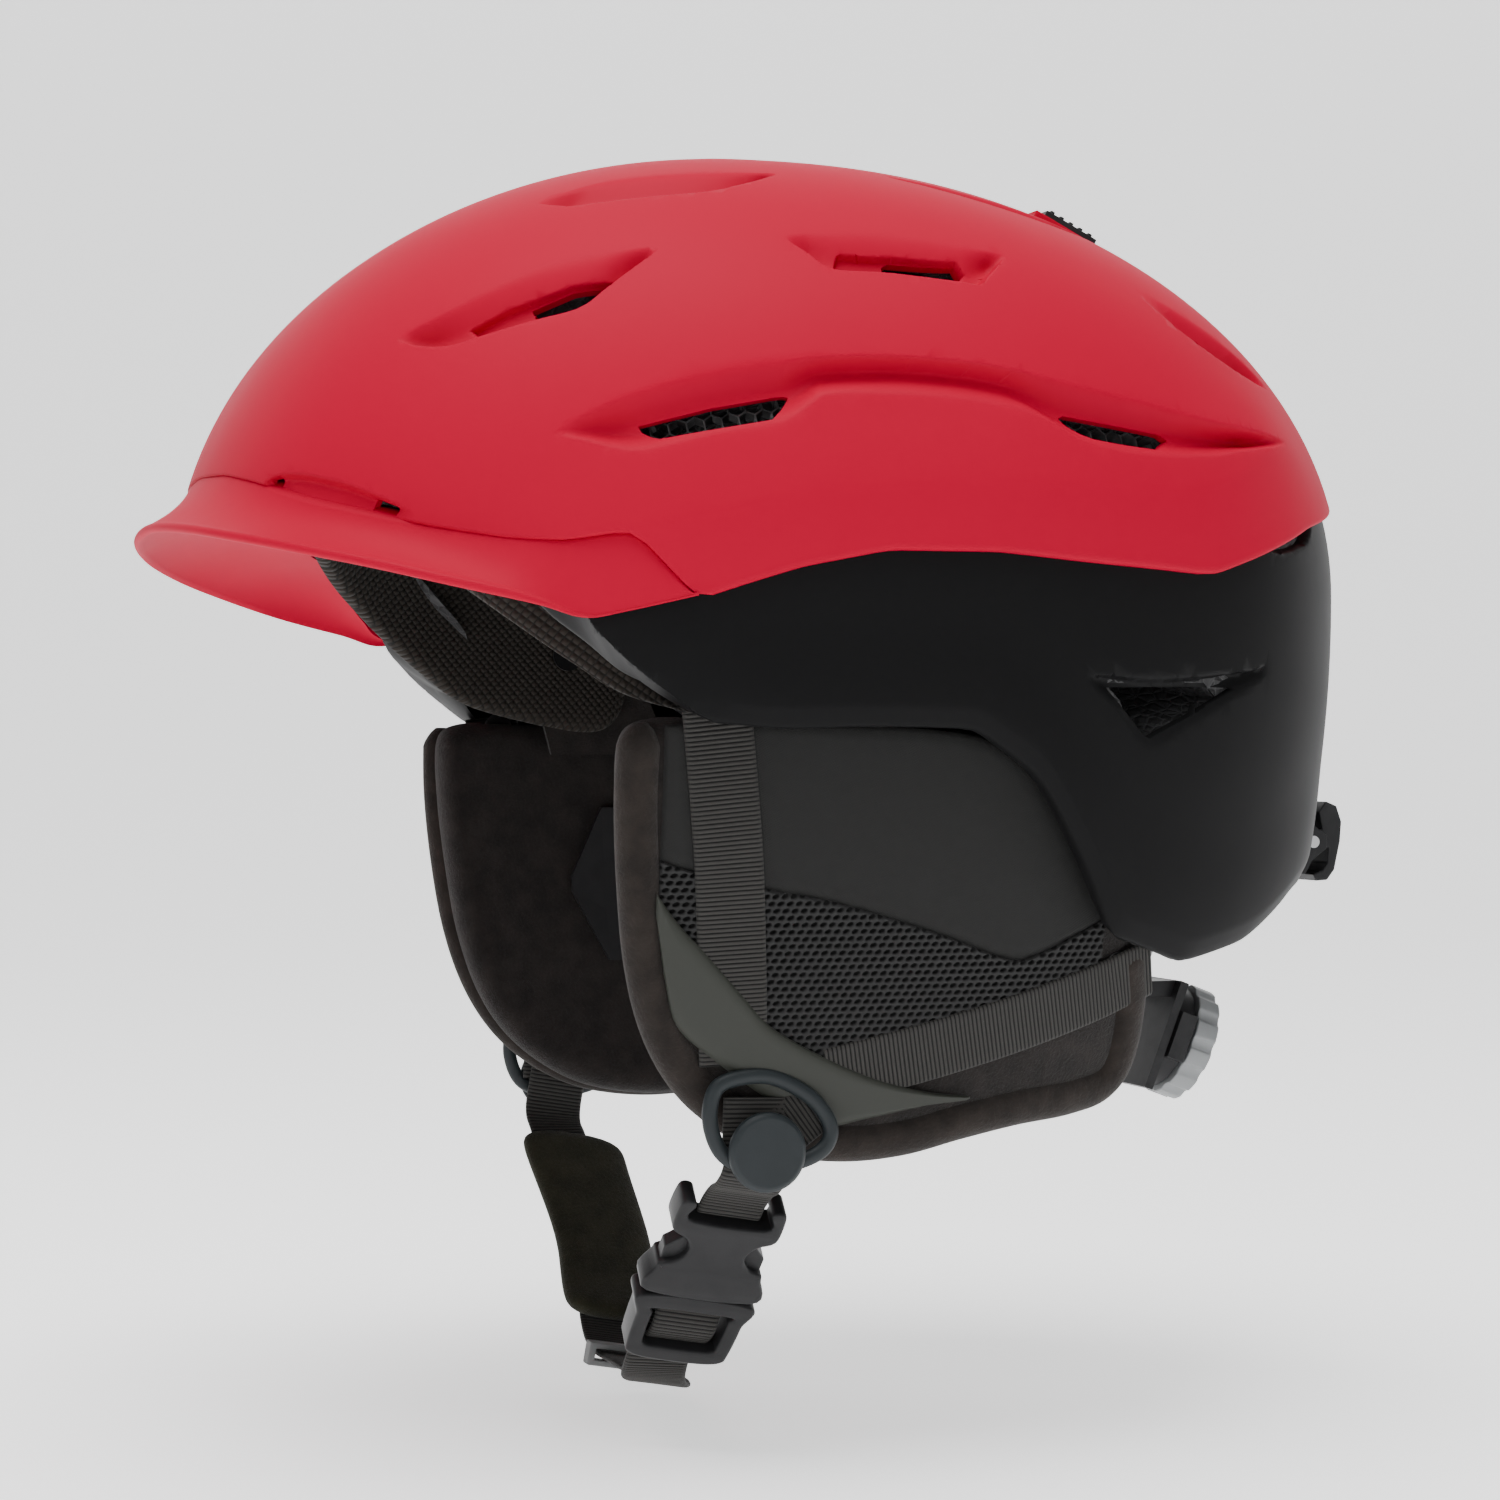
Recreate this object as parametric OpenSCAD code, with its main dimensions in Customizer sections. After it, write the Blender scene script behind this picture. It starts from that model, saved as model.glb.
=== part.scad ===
// Ski helmet: two-piece shell on a foam liner, ear pads, dial fit cradle,
// sliding roof vents, chin strap with a side-release buckle, rear goggle clip.
// Origin: centre of the head opening. +Z up, the brow is at -Y, the wearer's left at +X.

/* [Shell] */
// Half of the shell's width
half_wide = 113; // [108:0.5:118]
// From the origin to the front of the shell
reach_front = 133.5; // [130:0.5:138]
// From the origin to the rear of the shell
reach_rear = 148; // [144:0.5:152]
// From the origin to the top of the shell
reach_top = 105; // [102:0.5:108]
// Depth at which the shell's side walls would close under the head
reach_low = 207; // [200:1:214]
// Thickness of the upper shell
skin = 1.6; // [1.2:0.1:2]
// Depth of the foam liner's inner face below the shell's outer face
liner_depth = 27; // [25:0.5:28]

/* [Roof vents] */
// Travel of the vent slider
slider_travel = 12; // [8:1:12]
// Thickness of the shutter plates
shutter_thick = 1.2; // [1:0.1:1.4]

/* [Fit dial] */
// Diameter of the dial knob
dial_d = 29; // [26:0.5:32]
// Thickness of the dial knob
dial_thick = 6; // [5:0.5:7]
// Downward tilt of the dial's axis
dial_tilt = 21; // [18:1:24]

/* [Straps] */
// Width of the webbing
web_w = 15; // [14:0.5:16]
// Thickness of the webbing
web_t = 1.4; // [1.2:0.1:1.6]
// Width of the buckle
buckle_w = 25; // [24:0.5:26]
// Inward lean of the buckle
buckle_lean = 35; // [33:1:37]
// Forward lean of the chin strap
chin_lean = 10; // [9:0.5:11]
// Diameter of the round strap caps
cap_d = 17.5; // [16:0.5:18]

/* [Hidden] */

// Roundness of the base form in plan and in its upright sections
plan_power = 2.4;
wall_power = 2.05;
// Grid of the shell surfaces
around = 48;
up_rows = 11;
// Depths below the outer face where each layer starts and ends
lower_skin_out = 2.2;
lower_skin_in = 3.6;
liner_out = 4.3;
pad_depth = 6;
layer_gap = 1.1;
// Rows crowd towards a shell's lower edge, where two shells overlap
row_crowding = 1.5;

// Elevation of the upper shell's lower edge by angle from the brow
upper_edge = [[0, 3], [30, 1], [50, -3], [60, -4], [69, -2], [80, 1], [90, 3], [103, 3],
  [114, 2], [129, 1], [136, 3], [146, 6], [165, 9], [180, 10]];
// Elevation of the lower shell's lower edge by angle from the brow
lower_edge = [[0, 1], [40, -1], [51, -4], [60, -11], [70, -15.5], [78, -16.5], [101, -16.5],
  [109, -21], [116, -29], [121, -35], [132, -36], [142, -33], [152, -28], [166, -25], [180, -24.5]];

// Distance from the origin to the base form, in the direction phi from the brow and w
// above the horizon, with each half axis shortened by d: a superellipse in plan, and
// another one upright
function form_r(phi, w, d) =
  let (x = abs(sin(phi) * cos(w)), y = -cos(phi) * cos(w), z = sin(w),
       b = y < 0 ? reach_front : reach_rear, c = z > 0 ? reach_top : reach_low)
  1 / pow(pow(pow(x / (half_wide - d), plan_power) + pow(abs(y) / (b - d), plan_power),
              wall_power / plan_power) + pow(abs(z) / (c - d), wall_power), 1 / wall_power);
function form_at(phi, w, d) =
  form_r(phi, w, d) * [sin(phi) * cos(w), -cos(phi) * cos(w), sin(w)];
// Height of the side wall's x at a given y and z below the origin
function side_x(y, z, d) =
  let (b = y < 0 ? reach_front : reach_rear, c = z > 0 ? reach_top : reach_low)
  (half_wide - d) * pow(pow(1 - pow(abs(z) / (c - d), wall_power), plan_power / wall_power)
                        - pow(abs(y) / (b - d), plan_power), 1 / plan_power);
function mirrored_angle(phi) = phi > 180 ? 360 - phi : phi;
function upper_edge_at(phi) = lookup(mirrored_angle(phi), upper_edge);
function lower_edge_at(phi) = lookup(mirrored_angle(phi), lower_edge);

// Faces of a slab: outer grid first, then the inner grid, each of cols by rows points.
// A ring joins its last column to its first
function slab_faces(cols, rows, ring) =
  let (n = cols * rows, last = ring ? cols - 1 : cols - 2)
  concat(
    [for (i = [0 : last], j = [0 : rows - 2], t = [0, 1])
      let (a = i * rows + j, b = ((i + 1) % cols) * rows + j)
      t == 0 ? [a, a + 1, b + 1] : [a, b + 1, b]],
    [for (i = [0 : last], j = [0 : rows - 2], t = [0, 1])
      let (a = n + i * rows + j, b = n + ((i + 1) % cols) * rows + j)
      t == 0 ? [a, b + 1, a + 1] : [a, b, b + 1]],
    [for (i = [0 : last], j = [0, rows - 1], t = [0, 1])
      let (a = i * rows + j, b = ((i + 1) % cols) * rows + j)
      j == 0 ? (t == 0 ? [a, b, n + b] : [a, n + b, n + a])
             : (t == 0 ? [a, n + b, b] : [a, n + a, n + b])],
    ring ? [] : [for (i = [0, cols - 1], j = [0 : rows - 2], t = [0, 1])
      let (a = i * rows + j)
      i == 0 ? (t == 0 ? [a, n + a + 1, a + 1] : [a, n + a, n + a + 1])
             : (t == 0 ? [a, a + 1, n + a + 1] : [a, n + a + 1, n + a])]);
module slab(outer, inner, cols, rows, ring = false)
  polyhedron(concat(outer, inner), slab_faces(cols, rows, ring), convexity = 8);

// Part of the shell between two edges: low and high give an elevation for each angle
module shell_band(angles, low, high, rows, d_out, d_in, ring = false) {
  grid = [for (i = [0 : len(angles) - 1], j = [0 : rows - 1])
    [angles[i], low[i] + (high[i] - low[i]) * j / (rows - 1)]];
  slab([for (g = grid) form_at(g[0], g[1], d_out)], [for (g = grid) form_at(g[0], g[1], d_in)],
       len(angles), rows, ring);
}
// Whole dome from its lower edge to the crown
module shell_dome(low, rows, d_out, d_in) {
  angles = [for (i = [0 : around - 1]) i * 360 / around];
  grid = [for (i = [0 : around - 1], j = [0 : rows - 1])
    [angles[i], low[i] + (90 - low[i]) * pow(j / rows, row_crowding)]];
  n = around * rows;
  ring_faces = slab_faces(around, rows, true);
  // The rim at the last row is replaced by fans to the crown points
  open_faces = [for (f = ring_faces)
    if (!(min(f) < n && max(f) >= n && min([for (v = f) v % rows]) == rows - 1)) f];
  fans = [for (i = [0 : around - 1], t = [0, 1])
    let (a = i * rows + rows - 1, b = ((i + 1) % around) * rows + rows - 1)
    t == 0 ? [a, 2 * n, b] : [n + b, 2 * n + 1, n + a]];
  polyhedron(concat([for (g = grid) form_at(g[0], g[1], d_out)],
                    [for (g = grid) form_at(g[0], g[1], d_in)],
                    [[0, 0, reach_top - d_out], [0, 0, reach_top - d_in]]),
             concat(open_faces, fans), convexity = 8);
}
// Side slab from columns of [y, z low, z high]
module side_cols(columns, rows, d_out, d_in) {
  grid = [for (c = columns, j = [0 : rows - 1]) [c[0], c[1] + (c[2] - c[1]) * j / (rows - 1)]];
  slab([for (g = grid) [side_x(g[0], g[1], d_out), g[0], g[1]]],
       [for (g = grid) [side_x(g[0], g[1], d_in), g[0], g[1]]], len(columns), rows);
}
// Side slab from rows of [z, y front, y rear]
module side_rows(levels, cols, d_out, d_in) {
  grid = [for (i = [0 : cols - 1], l = levels) [l[1] + (l[2] - l[1]) * i / (cols - 1), l[0]]];
  slab([for (g = grid) [side_x(g[0], g[1], d_out), g[0], g[1]]],
       [for (g = grid) [side_x(g[0], g[1], d_in), g[0], g[1]]], cols, len(levels));
}
// Puts a piece on the left (1) or the right (-1) side
module on_side(side) {
  if (side > 0) children();
  else mirror([1, 0, 0]) children();
}
// Turns a drawing so that its +Z points out of the form at phi, w and its +X runs rearwards
module aim(phi, w, roll = 0)
  rotate([0, 0, phi - 90]) rotate([0, 90 - w, 0]) rotate([0, 0, 90 + roll]) children();

// Each vent: angle from the brow, elevation, roll, and its outline in millimetres
vents = [
  [57, 52, 4, [[-15, -1.5], [-11, 1.8], [13, 2.2], [16, -0.5], [12, -2.2]]],
  [50, 28.5, 18, [[-16, -2.5], [-8, 1.5], [13, 3.2], [16, 1.5], [11, -2.5]]],
  [98, 38.5, -2, [[-15, 2.6], [14, 1.6], [16, -0.5], [11, -3], [-9, -2.2]]],
  [69.5, 17.5, 8, [[-18, -2.5], [-13, 0.5], [14, 4.2], [18, 3.2], [13, -4.2], [-14, -4.4]]],
  [121, 17, -6, [[-14, 4.4], [12, 1.8], [15, -1.2], [12, -4.2], [-8, -3.4]]],
  [144, 27.5, -12, [[-14, 1.5], [-8, 3.5], [12, 2], [15, -1], [10, -3.5], [-10, -1.5]]]];
vent_reach = 150;
module vent_cut(v, grow = 0)
  aim(v[0], v[1], v[2]) translate([0, 0, 40])
    linear_extrude(vent_reach) offset(delta = grow) polygon(v[3]);
module vent_cuts(grow = 0)
  for (side = [-1, 1], v = vents)
    on_side(side) vent_cut(v, grow);

shell_angles = [for (i = [0 : around - 1]) i * 360 / around];

module upper_shell() {
  low = [for (a = shell_angles) upper_edge_at(a)];
  color([0.78, 0.08, 0.13])
  resize([0, 0, 0]) difference() {
    shell_dome(low, up_rows, 0, skin);
    vent_cuts();
    slider_slot();
    brow_slots();
  }
}
// Slot that the slider's stem runs in
module slider_slot()
  slider_frame() translate([0, slider_travel / 2, 0])
    cube([9, slider_travel + 9, 30], center = true);
// Two air slots behind the brim
module brow_slots()
  for (side = [-1, 1])
    on_side(side) aim(30, 8.5, 10) translate([0, 0, 60])
      linear_extrude(vent_reach) polygon([[-22, -1.6], [-18, 2.4], [20, 2.2], [23, -1.8]]);

// Triangle and slot openings of the lower shell
rear_window = [[-14, 4.5], [14.5, 4.5], [-5, -7.5]];
clip_window = [[-14, -2], [-14, 2], [14, 2], [14, -2]];
module lower_openings() {
  for (side = [-1, 1])
    on_side(side) aim(125.5, -12, 0) translate([0, 0, 60]) linear_extrude(vent_reach) polygon(rear_window);
}
module lower_shell() {
  low = [for (a = shell_angles) lower_edge_at(a)];
  high = [for (a = shell_angles) upper_edge_at(a) + 6];
  color([0.07, 0.07, 0.07])
  resize([0, 0, 0]) difference() {
    shell_band(shell_angles, low, high, 8, lower_skin_out, lower_skin_in, ring = true);
    lower_openings();
    translate([0, reach_rear - 6, -61]) rotate([-90, 0, 0])
      linear_extrude(30, center = true) polygon(clip_window);
    brow_slots();
  }
}

// Brim: a lip whose seam follows the brow and whose tip runs forward and slightly up
brim_angles = [for (i = [-8 : 8]) i * 60 / 8];
function brim_reach(phi) = 13.5 * pow(max(0, 1 - pow(abs(phi) / 62, 2.6)), 0.8);
function brim_seam(phi) = 9.5 - 5.5 * pow(abs(phi) / 60, 2);
function brim_low(phi) = 2.5 - 8.5 * pow(abs(phi) / 60, 1.6);
brim_gap = 1;
function brim_point(phi, t, side) =
  let (top = form_at(phi, brim_seam(phi), -brim_gap), low = form_at(phi, brim_low(phi), -brim_gap),
       out = [sin(phi), -cos(phi), 0], reach = brim_reach(phi),
       tip = low + (top - low) * 0.3 + out * reach + [0, 0, -0.5])
  side > 0
    ? (1 - t) * (1 - t) * top + 2 * t * (1 - t) * (low + (top - low) * 0.35 + out * 0.5) + t * t * tip
    : (1 - t) * form_at(phi, brim_low(phi) - 1.5, -brim_gap) + t * (tip + [0, 0, -1.6]);
module brim() {
  rows = 6;
  color([0.75, 0.07, 0.12])
  slab([for (a = brim_angles, j = [rows - 1 : -1 : 0]) brim_point(a, j / (rows - 1), 1)],
       [for (a = brim_angles, j = [rows - 1 : -1 : 0]) brim_point(a, j / (rows - 1), -1)],
       len(brim_angles), rows);
}

// Foam liner with its vents and the recess that the shutters run in
liner_lift = 4;
recess_depth = 10.5;
module eps_liner() {
  low = [for (a = shell_angles) max(lower_edge_at(a) + liner_lift, -27)];
  color([0.16, 0.16, 0.17])
  resize([0, 0, 0]) difference() {
    shell_dome(low, 10, liner_out, liner_depth);
    vent_cuts(1.2);
    shutter_recess();
    slider_slot_deep();
    grille_seats();
    temple_holes();
  }
}
module slider_slot_deep()
  slider_frame() translate([0, slider_travel / 2, -6])
    cube([34, slider_travel + 42, 19], center = true);
module temple_holes()
  for (side = [-1, 1])
    translate([side * 84, cradle_pivot[1], cradle_pivot[2]]) rotate([0, 90, 0])
      cylinder(h = 12, r = 2.4, center = true, $fn = 24);

// Shutters: two plates that turn about a crosswise axis inside the crown, so that each
// stays at one depth below the shell
shutter_axis_z = -80;
shutter_depth = 5.6;
shutter_from = 47;
shutter_to = 88;
shutter_steps = 8;
function crown_z(x, d) =
  (reach_top - d) * pow(1 - pow(x / (half_wide - d), wall_power), 1 / wall_power);
module shutter_form(grow, from, to, turn_from, turn_to)
  translate([0, 0, shutter_axis_z]) rotate([0, 90, 0])
    rotate([0, 0, turn_from]) rotate_extrude(angle = turn_to - turn_from, $fn = 144)
      polygon(concat(
        [for (i = [0 : shutter_steps]) let (x = from + (to - from) * i / shutter_steps)
          [crown_z(x, shutter_depth - grow) - shutter_axis_z, x]],
        [for (i = [shutter_steps : -1 : 0]) let (x = from + (to - from) * i / shutter_steps)
          [crown_z(x, shutter_depth + shutter_thick + grow) - shutter_axis_z, x]]));
shutter_front = 147;
shutter_rear = 193;
module vent_shutter() {
  color([0.7, 0.07, 0.11])
  difference() {
    shutter_form(0, shutter_from, shutter_to, shutter_front, shutter_rear);
    // The windows sit under the rear half of each vent when the vents are open
    for (v = [vents[0], vents[1], vents[2]])
      aim(v[0], v[1], v[2]) translate([8, 0, 110])
        cube([15, 13, 100], center = true);
  }
}
module shutter_recess()
  for (side = [-1, 1])
    on_side(side) {
      shutter_form(recess_depth - shutter_depth - 2, shutter_from - 2.5, shutter_to + 2.5,
                   shutter_front - 7, shutter_rear + 3);
    }

// Vent slider: a ribbed button in a raised track on the rear of the crown
slider_w = 16;
slider_l = 15;
track_h = 2.4;
slider_home = [0, 84, 88.9];
slider_slope = 27;
module slider_frame() translate(slider_home) rotate([-slider_slope, 0, 0]) children();
module slider_track() {
  color([0.7, 0.07, 0.12])
  slider_frame() translate([0, slider_travel / 2, 0]) difference() {
    translate([0, 0, track_h / 2]) cube([27, slider_travel + slider_l + 8, track_h], center = true);
    translate([0, 0, track_h / 2]) cube([slider_w + 1, slider_travel + slider_l + 1, track_h + 2], center = true);
  }
}
module vent_slider() {
  color([0.05, 0.05, 0.05])
  slider_frame() {
    translate([0, 0, 3.1]) cube([slider_w, slider_l, 5], center = true);
    for (i = [-2 : 2])
      translate([0, i * 2.8, 6]) cube([slider_w - 2, 1.2, 1], center = true);
    translate([0, 0, -4.3]) cube([6, 7, 10], center = true);
    translate([0, 0, -10.2]) cube([16, 11, 2], center = true);
  }
}

// Honeycomb grilles behind the two side vents
cell_d = 4.6;
cell_wall = 1;
module honeycomb(l, h)
  difference() {
    square([l, h], center = true);
    for (i = [-6 : 6], j = [-3 : 3])
      translate([(i + (j % 2 == 0 ? 0 : 0.5)) * (cell_d + cell_wall), j * (cell_d + cell_wall) * 0.87])
        if (abs((i + 0.5) * (cell_d + cell_wall)) < l / 2 - 3 && abs(j * (cell_d + cell_wall) * 0.87) < h / 2 - 2.5)
          circle(d = cell_d, $fn = 6);
  }
grille_size = [[42, 15], [31, 14]];
grille_sink = [6.8, 8.6];
module grille(which) {
  v = vents[3 + which];
  r = form_r(v[0], v[1], liner_out) - grille_sink[which];
  color([0.04, 0.04, 0.04])
  aim(v[0], v[1], v[2]) translate([0, 0, r])
    linear_extrude(2) honeycomb(grille_size[which][0], grille_size[which][1]);
}
// Seats in the liner with room for the grilles
module grille_seats()
  for (side = [-1, 1], which = [0, 1])
    on_side(side) {
      v = vents[3 + which];
      r = form_r(v[0], v[1], liner_out) - grille_sink[which] - 0.4;
      aim(v[0], v[1], v[2]) translate([0, 0, r + 10])
        cube([grille_size[which][0] + 0.8, grille_size[which][1] + 0.8, 20], center = true);
    }

// Comfort pads on the liner's inner face
pad_out = liner_depth + layer_gap;
module brow_pad() {
  angles = [for (i = [-8 : 8]) i * 7.5];
  color([0.07, 0.065, 0.06])
  shell_band(angles, [for (a = angles) lower_edge_at(abs(a)) + liner_lift - 2.5],
             [for (a = angles) 22 - 10 * pow(abs(a) / 63, 2)], 5, pad_out, pad_out + pad_depth);
}
module crown_pad() {
  angles = [for (i = [0 : 23]) i * 15];
  color([0.09, 0.09, 0.09])
  shell_band(angles, [for (a = angles) 62], [for (a = angles) 84], 4, pad_out, pad_out + pad_depth, ring = true);
}
module side_pad() {
  angles = [for (i = [0 : 7]) 75 + i * 7.5];
  color([0.08, 0.08, 0.08])
  shell_band(angles, [for (a = angles) 4], [for (a = angles) 26], 4, pad_out, pad_out + pad_depth);
}

// Ear pad: a curved cushion under the side edge, [y, z low, z high]
ear_outer = 10;
ear_inner = 25;
ear_columns = [[-54, -58, -33], [-51.5, -74, -31], [-49, -88, -30], [-44, -101, -30], [-37, -112, -30],
  [-28, -119, -30.5], [-19, -124, -31], [-5, -127, -32], [14, -126, -36], [28, -122.5, -42],
  [40, -120, -52], [50, -118.5, -65], [62, -117.5, -73], [70, -114, -75], [72.5, -107, -78]];
module ear_pad() {
  color([0.08, 0.075, 0.07])
  side_cols(ear_columns, 7, ear_outer, ear_inner);
}
// Rubber plate with slots on the pad's inner face, over the ear
ear_plate_columns = [[-19, -74, -70], [-10, -92, -52], [10, -92, -52], [19, -74, -70]];
module ear_plate() {
  color([0.12, 0.12, 0.12])
  resize([0, 0, 0]) difference() {
    side_cols(ear_plate_columns, 4, ear_inner + layer_gap, ear_inner + layer_gap + 1.8);
    for (i = [-2 : 2])
      translate([70, 0, -72 + i * 6.4]) cube([40, 9, 2.4], center = true);
  }
}
// Plastic tab that hangs the pad inside the liner, with its two snap studs
module ear_tab() {
  color([0.1, 0.1, 0.1])
  side_rows([[-38, -24, 4], [-30, -26, 6], [-20, -22, 2]], 5, pad_out, pad_out + 1.6);
}

// Straps on the outside of the ear pad
strap_out = 8.6;
strap_in = 9.7;
module front_strap() {
  color([0.09, 0.09, 0.09])
  side_rows([[-27.5, -41, -26.5], [-45, -39, -24.5], [-62, -37, -22.5], [-80, -34, -19.5], [-95, -31, -17],
    [-104.5, -29.5, -16]], 3, strap_out, strap_in);
}
module rear_strap() {
  color([0.09, 0.09, 0.09])
  side_cols([[-8, -115.5, -106], [2, -118, -105], [18, -117.5, -103.5], [34, -113.5, -98.5], [50, -106, -90.5],
    [67, -97, -80.5]], 3, strap_out, strap_in);
}
module keeper_band() {
  color([0.13, 0.14, 0.12])
  side_cols([[-46.5, -90, -71], [-42, -95.5, -77], [-35, -98.5, -84], [-26, -102, -91.5], [-11, -108.5, -99.5],
    [4, -116, -107], [16, -121, -112.5], [27, -121.5, -116.5]], 3, 7.2, 8.2);
}
// Riveted washers that hold the straps' upper ends, between strap and shell
anchor_places = [[-33.5, -31], [62, -84]];
module strap_anchors() {
  color([0.3, 0.3, 0.31])
  for (side = [-1, 1], p = anchor_places)
    on_side(side) translate([side_x(p[0], p[1], strap_out) + 1.7, p[0], p[1]]) rotate([0, 90, 0])
      cylinder(h = 1.2, r = 4.2, $fn = 32);
}

// Strap divider: a triangular ring with a boss for the round cap's stem
hinge_y = -21;
hinge_z = -124;
ring_x = 87.6;
ring_t = 2.8;
bar_w = 3.6;
ring_corners = [[-33.5, -108.8], [0.5, -117.8], [-22, -128.5]];
module ring_bar(a, b) {
  d = b - a;
  translate(a) rotate(atan2(d[1], d[0])) translate([0, -bar_w / 2]) square([norm(d), bar_w]);
  translate(b) circle(d = bar_w, $fn = 24);
}
module strap_divider() {
  color([0.2, 0.22, 0.24])
  translate([ring_x, 0, 0]) rotate([90, 0, 90]) linear_extrude(ring_t) difference() {
    union() {
      for (i = [0 : 2])
        ring_bar(ring_corners[i], ring_corners[(i + 1) % 3]);
      translate([hinge_y, hinge_z]) circle(r = 5.2, $fn = 48);
    }
    translate([hinge_y, hinge_z]) circle(r = stem_r + 0.06, $fn = 48);
  }
}

// Everything on the chin strap is drawn in its own frame: the hinge axis is X, and the
// strap's plane leans forwards
stem_r = 2.2;
module chin_frame() translate([0, hinge_y, hinge_z]) rotate([-chin_lean, 0, 0]) children();
web_x = 85;
module strap_cap() {
  color([0.16, 0.18, 0.2])
  translate([0, hinge_y, hinge_z]) rotate([0, 90, 0]) {
    translate([0, 0, ring_x + ring_t + 0.3]) cylinder(h = 1.4, r = cap_d / 2, $fn = 64);
    translate([0, 0, ring_x + ring_t + 1.7]) cylinder(h = 1, r1 = cap_d / 2, r2 = cap_d / 2 - 1, $fn = 64);
    translate([0, 0, web_x + web_t]) cylinder(h = ring_x + ring_t - web_x - web_t + 0.5, r = stem_r, $fn = 48);
  }
}
// Offset a path in the strap's plane by half a thickness on each side
function path_normal(p, i) =
  let (a = p[max(0, i - 1)], b = p[min(len(p) - 1, i + 1)], d = (b - a) / norm(b - a)) [-d[1], d[0]];
function thick_path(p, from, to) = concat(
  [for (i = [0 : len(p) - 1]) p[i] + path_normal(p, i) * from],
  [for (i = [len(p) - 1 : -1 : 0]) p[i] + path_normal(p, i) * to]);
module strap_run(path, width, from, to)
  chin_frame() rotate([90, 0, 0]) linear_extrude(width, center = true)
    polygon(thick_path(path, from, to));
buckle_top = [74, -12.5];
near_path = [[web_x + web_t / 2, 6], [web_x + web_t / 2, -6], [82.2, -8.6], [77.8, -9.6], [74.3, -12]];
module chin_strap_left() {
  color([0.09, 0.09, 0.09])
  strap_run(near_path, web_w, -web_t / 2, web_t / 2);
}
far_path = [[-web_x - web_t / 2, 6], [-web_x - web_t / 2, -6], [-84, -10], [-80, -13.5], [-76, -18.5]];
module chin_strap_right() {
  color([0.09, 0.09, 0.09])
  strap_run(far_path, web_w, -web_t / 2, web_t / 2);
}
middle_path = [[-75.8, -18.8], [-68, -29], [-58, -41], [-49, -51], [-40, -58.5], [-30, -62.3], [4, -62.3],
  [18, -61.6], [29, -59.2], [36.2, -55.4], [41, -49.4], [45.9, -42.4], [50.5, -35.9]];
module chin_strap_middle() {
  color([0.09, 0.09, 0.09])
  strap_run(middle_path, web_w, -web_t / 2, web_t / 2);
}
pad_path = [[-75.5, -12], [-71, -19], [-63.5, -29], [-54, -40.5], [-46.5, -48.5], [-39.5, -54]];
module chin_pad() {
  color([0.07, 0.07, 0.06])
  strap_run(pad_path, 27, -1.2, 3);
}
keeper_x = -24;
keeper_z = -62.3;
module strap_keeper() {
  color([0.25, 0.26, 0.26])
  chin_frame() translate([keeper_x, 0, keeper_z]) rotate([0, -90, 0]) rotate([0, 0, 90])
    linear_extrude(4.5, center = true) difference() {
      square([web_w + 5, web_t + 4.4], center = true);
      square([web_w + 1.6, web_t + 1.4], center = true);
    }
}

// Side-release buckle in its own frame: it hangs down -Z, its width is along Y
module buckle_frame()
  chin_frame() translate([buckle_top[0], 0, buckle_top[1]]) rotate([0, buckle_lean, 0]) children();
socket_l = 27;
buckle_t = 8;
module rounded_block(w, l, t, r)
  rotate([90, 0, 90]) linear_extrude(t, center = true) union() {
    translate([0, -l / 2]) square([w - 2 * r, l], center = true);
    translate([0, -l / 2]) square([w, l - 2 * r], center = true);
    for (sx = [-1, 1], sz = [-r, r - l])
      translate([sx * (w / 2 - r), sz]) circle(r = r, $fn = 32);
  }
module buckle_socket() {
  color([0.08, 0.08, 0.08])
  buckle_frame() difference() {
    rounded_block(buckle_w, socket_l, buckle_t, 2.5);
    // Slot for the webbing
    translate([0, 0, -3.8]) cube([buckle_t + 2, web_w + 1.2, 4.6], center = true);
    // Room for the plug
    translate([0, 0, -8.5 - 15]) cube([4.6, buckle_w - 4.4, 30], center = true);
    // Side windows for the prongs' thumb pads
    for (s = [-1, 1])
      translate([0, s * buckle_w / 2, -16.5]) cube([buckle_t + 2, 7.6, 9], center = true);
  }
}
plug_l = 24;
prong_in = 6.2;
module buckle_plug() {
  color([0.08, 0.08, 0.08])
  buckle_frame() translate([0, 0, -socket_l - 0.3]) {
    difference() {
      rounded_block(buckle_w, plug_l, buckle_t - 0.6, 2);
      for (z = [-9, -17.4])
        translate([0, 0, z]) cube([buckle_t + 2, web_w + 2.4, 6], center = true);
    }
    translate([0, 0, 6.5]) cube([4, 5, 14], center = true);
  }
}
// One prong with its barb and thumb pad
module buckle_prong(s) {
  color([0.08, 0.08, 0.08])
  buckle_frame() translate([0, s * prong_in, -socket_l + 0.1]) rotate([90, 0, 90])
    linear_extrude(4, center = true)
      polygon([for (p = [[0, 0], [2, 0], [2.1, 6.4], [5.6, 6.8], [5.6, 12.8], [1.6, 16.8], [0, 16.8]])
        [s * p[0], p[1]]]);
}

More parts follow.
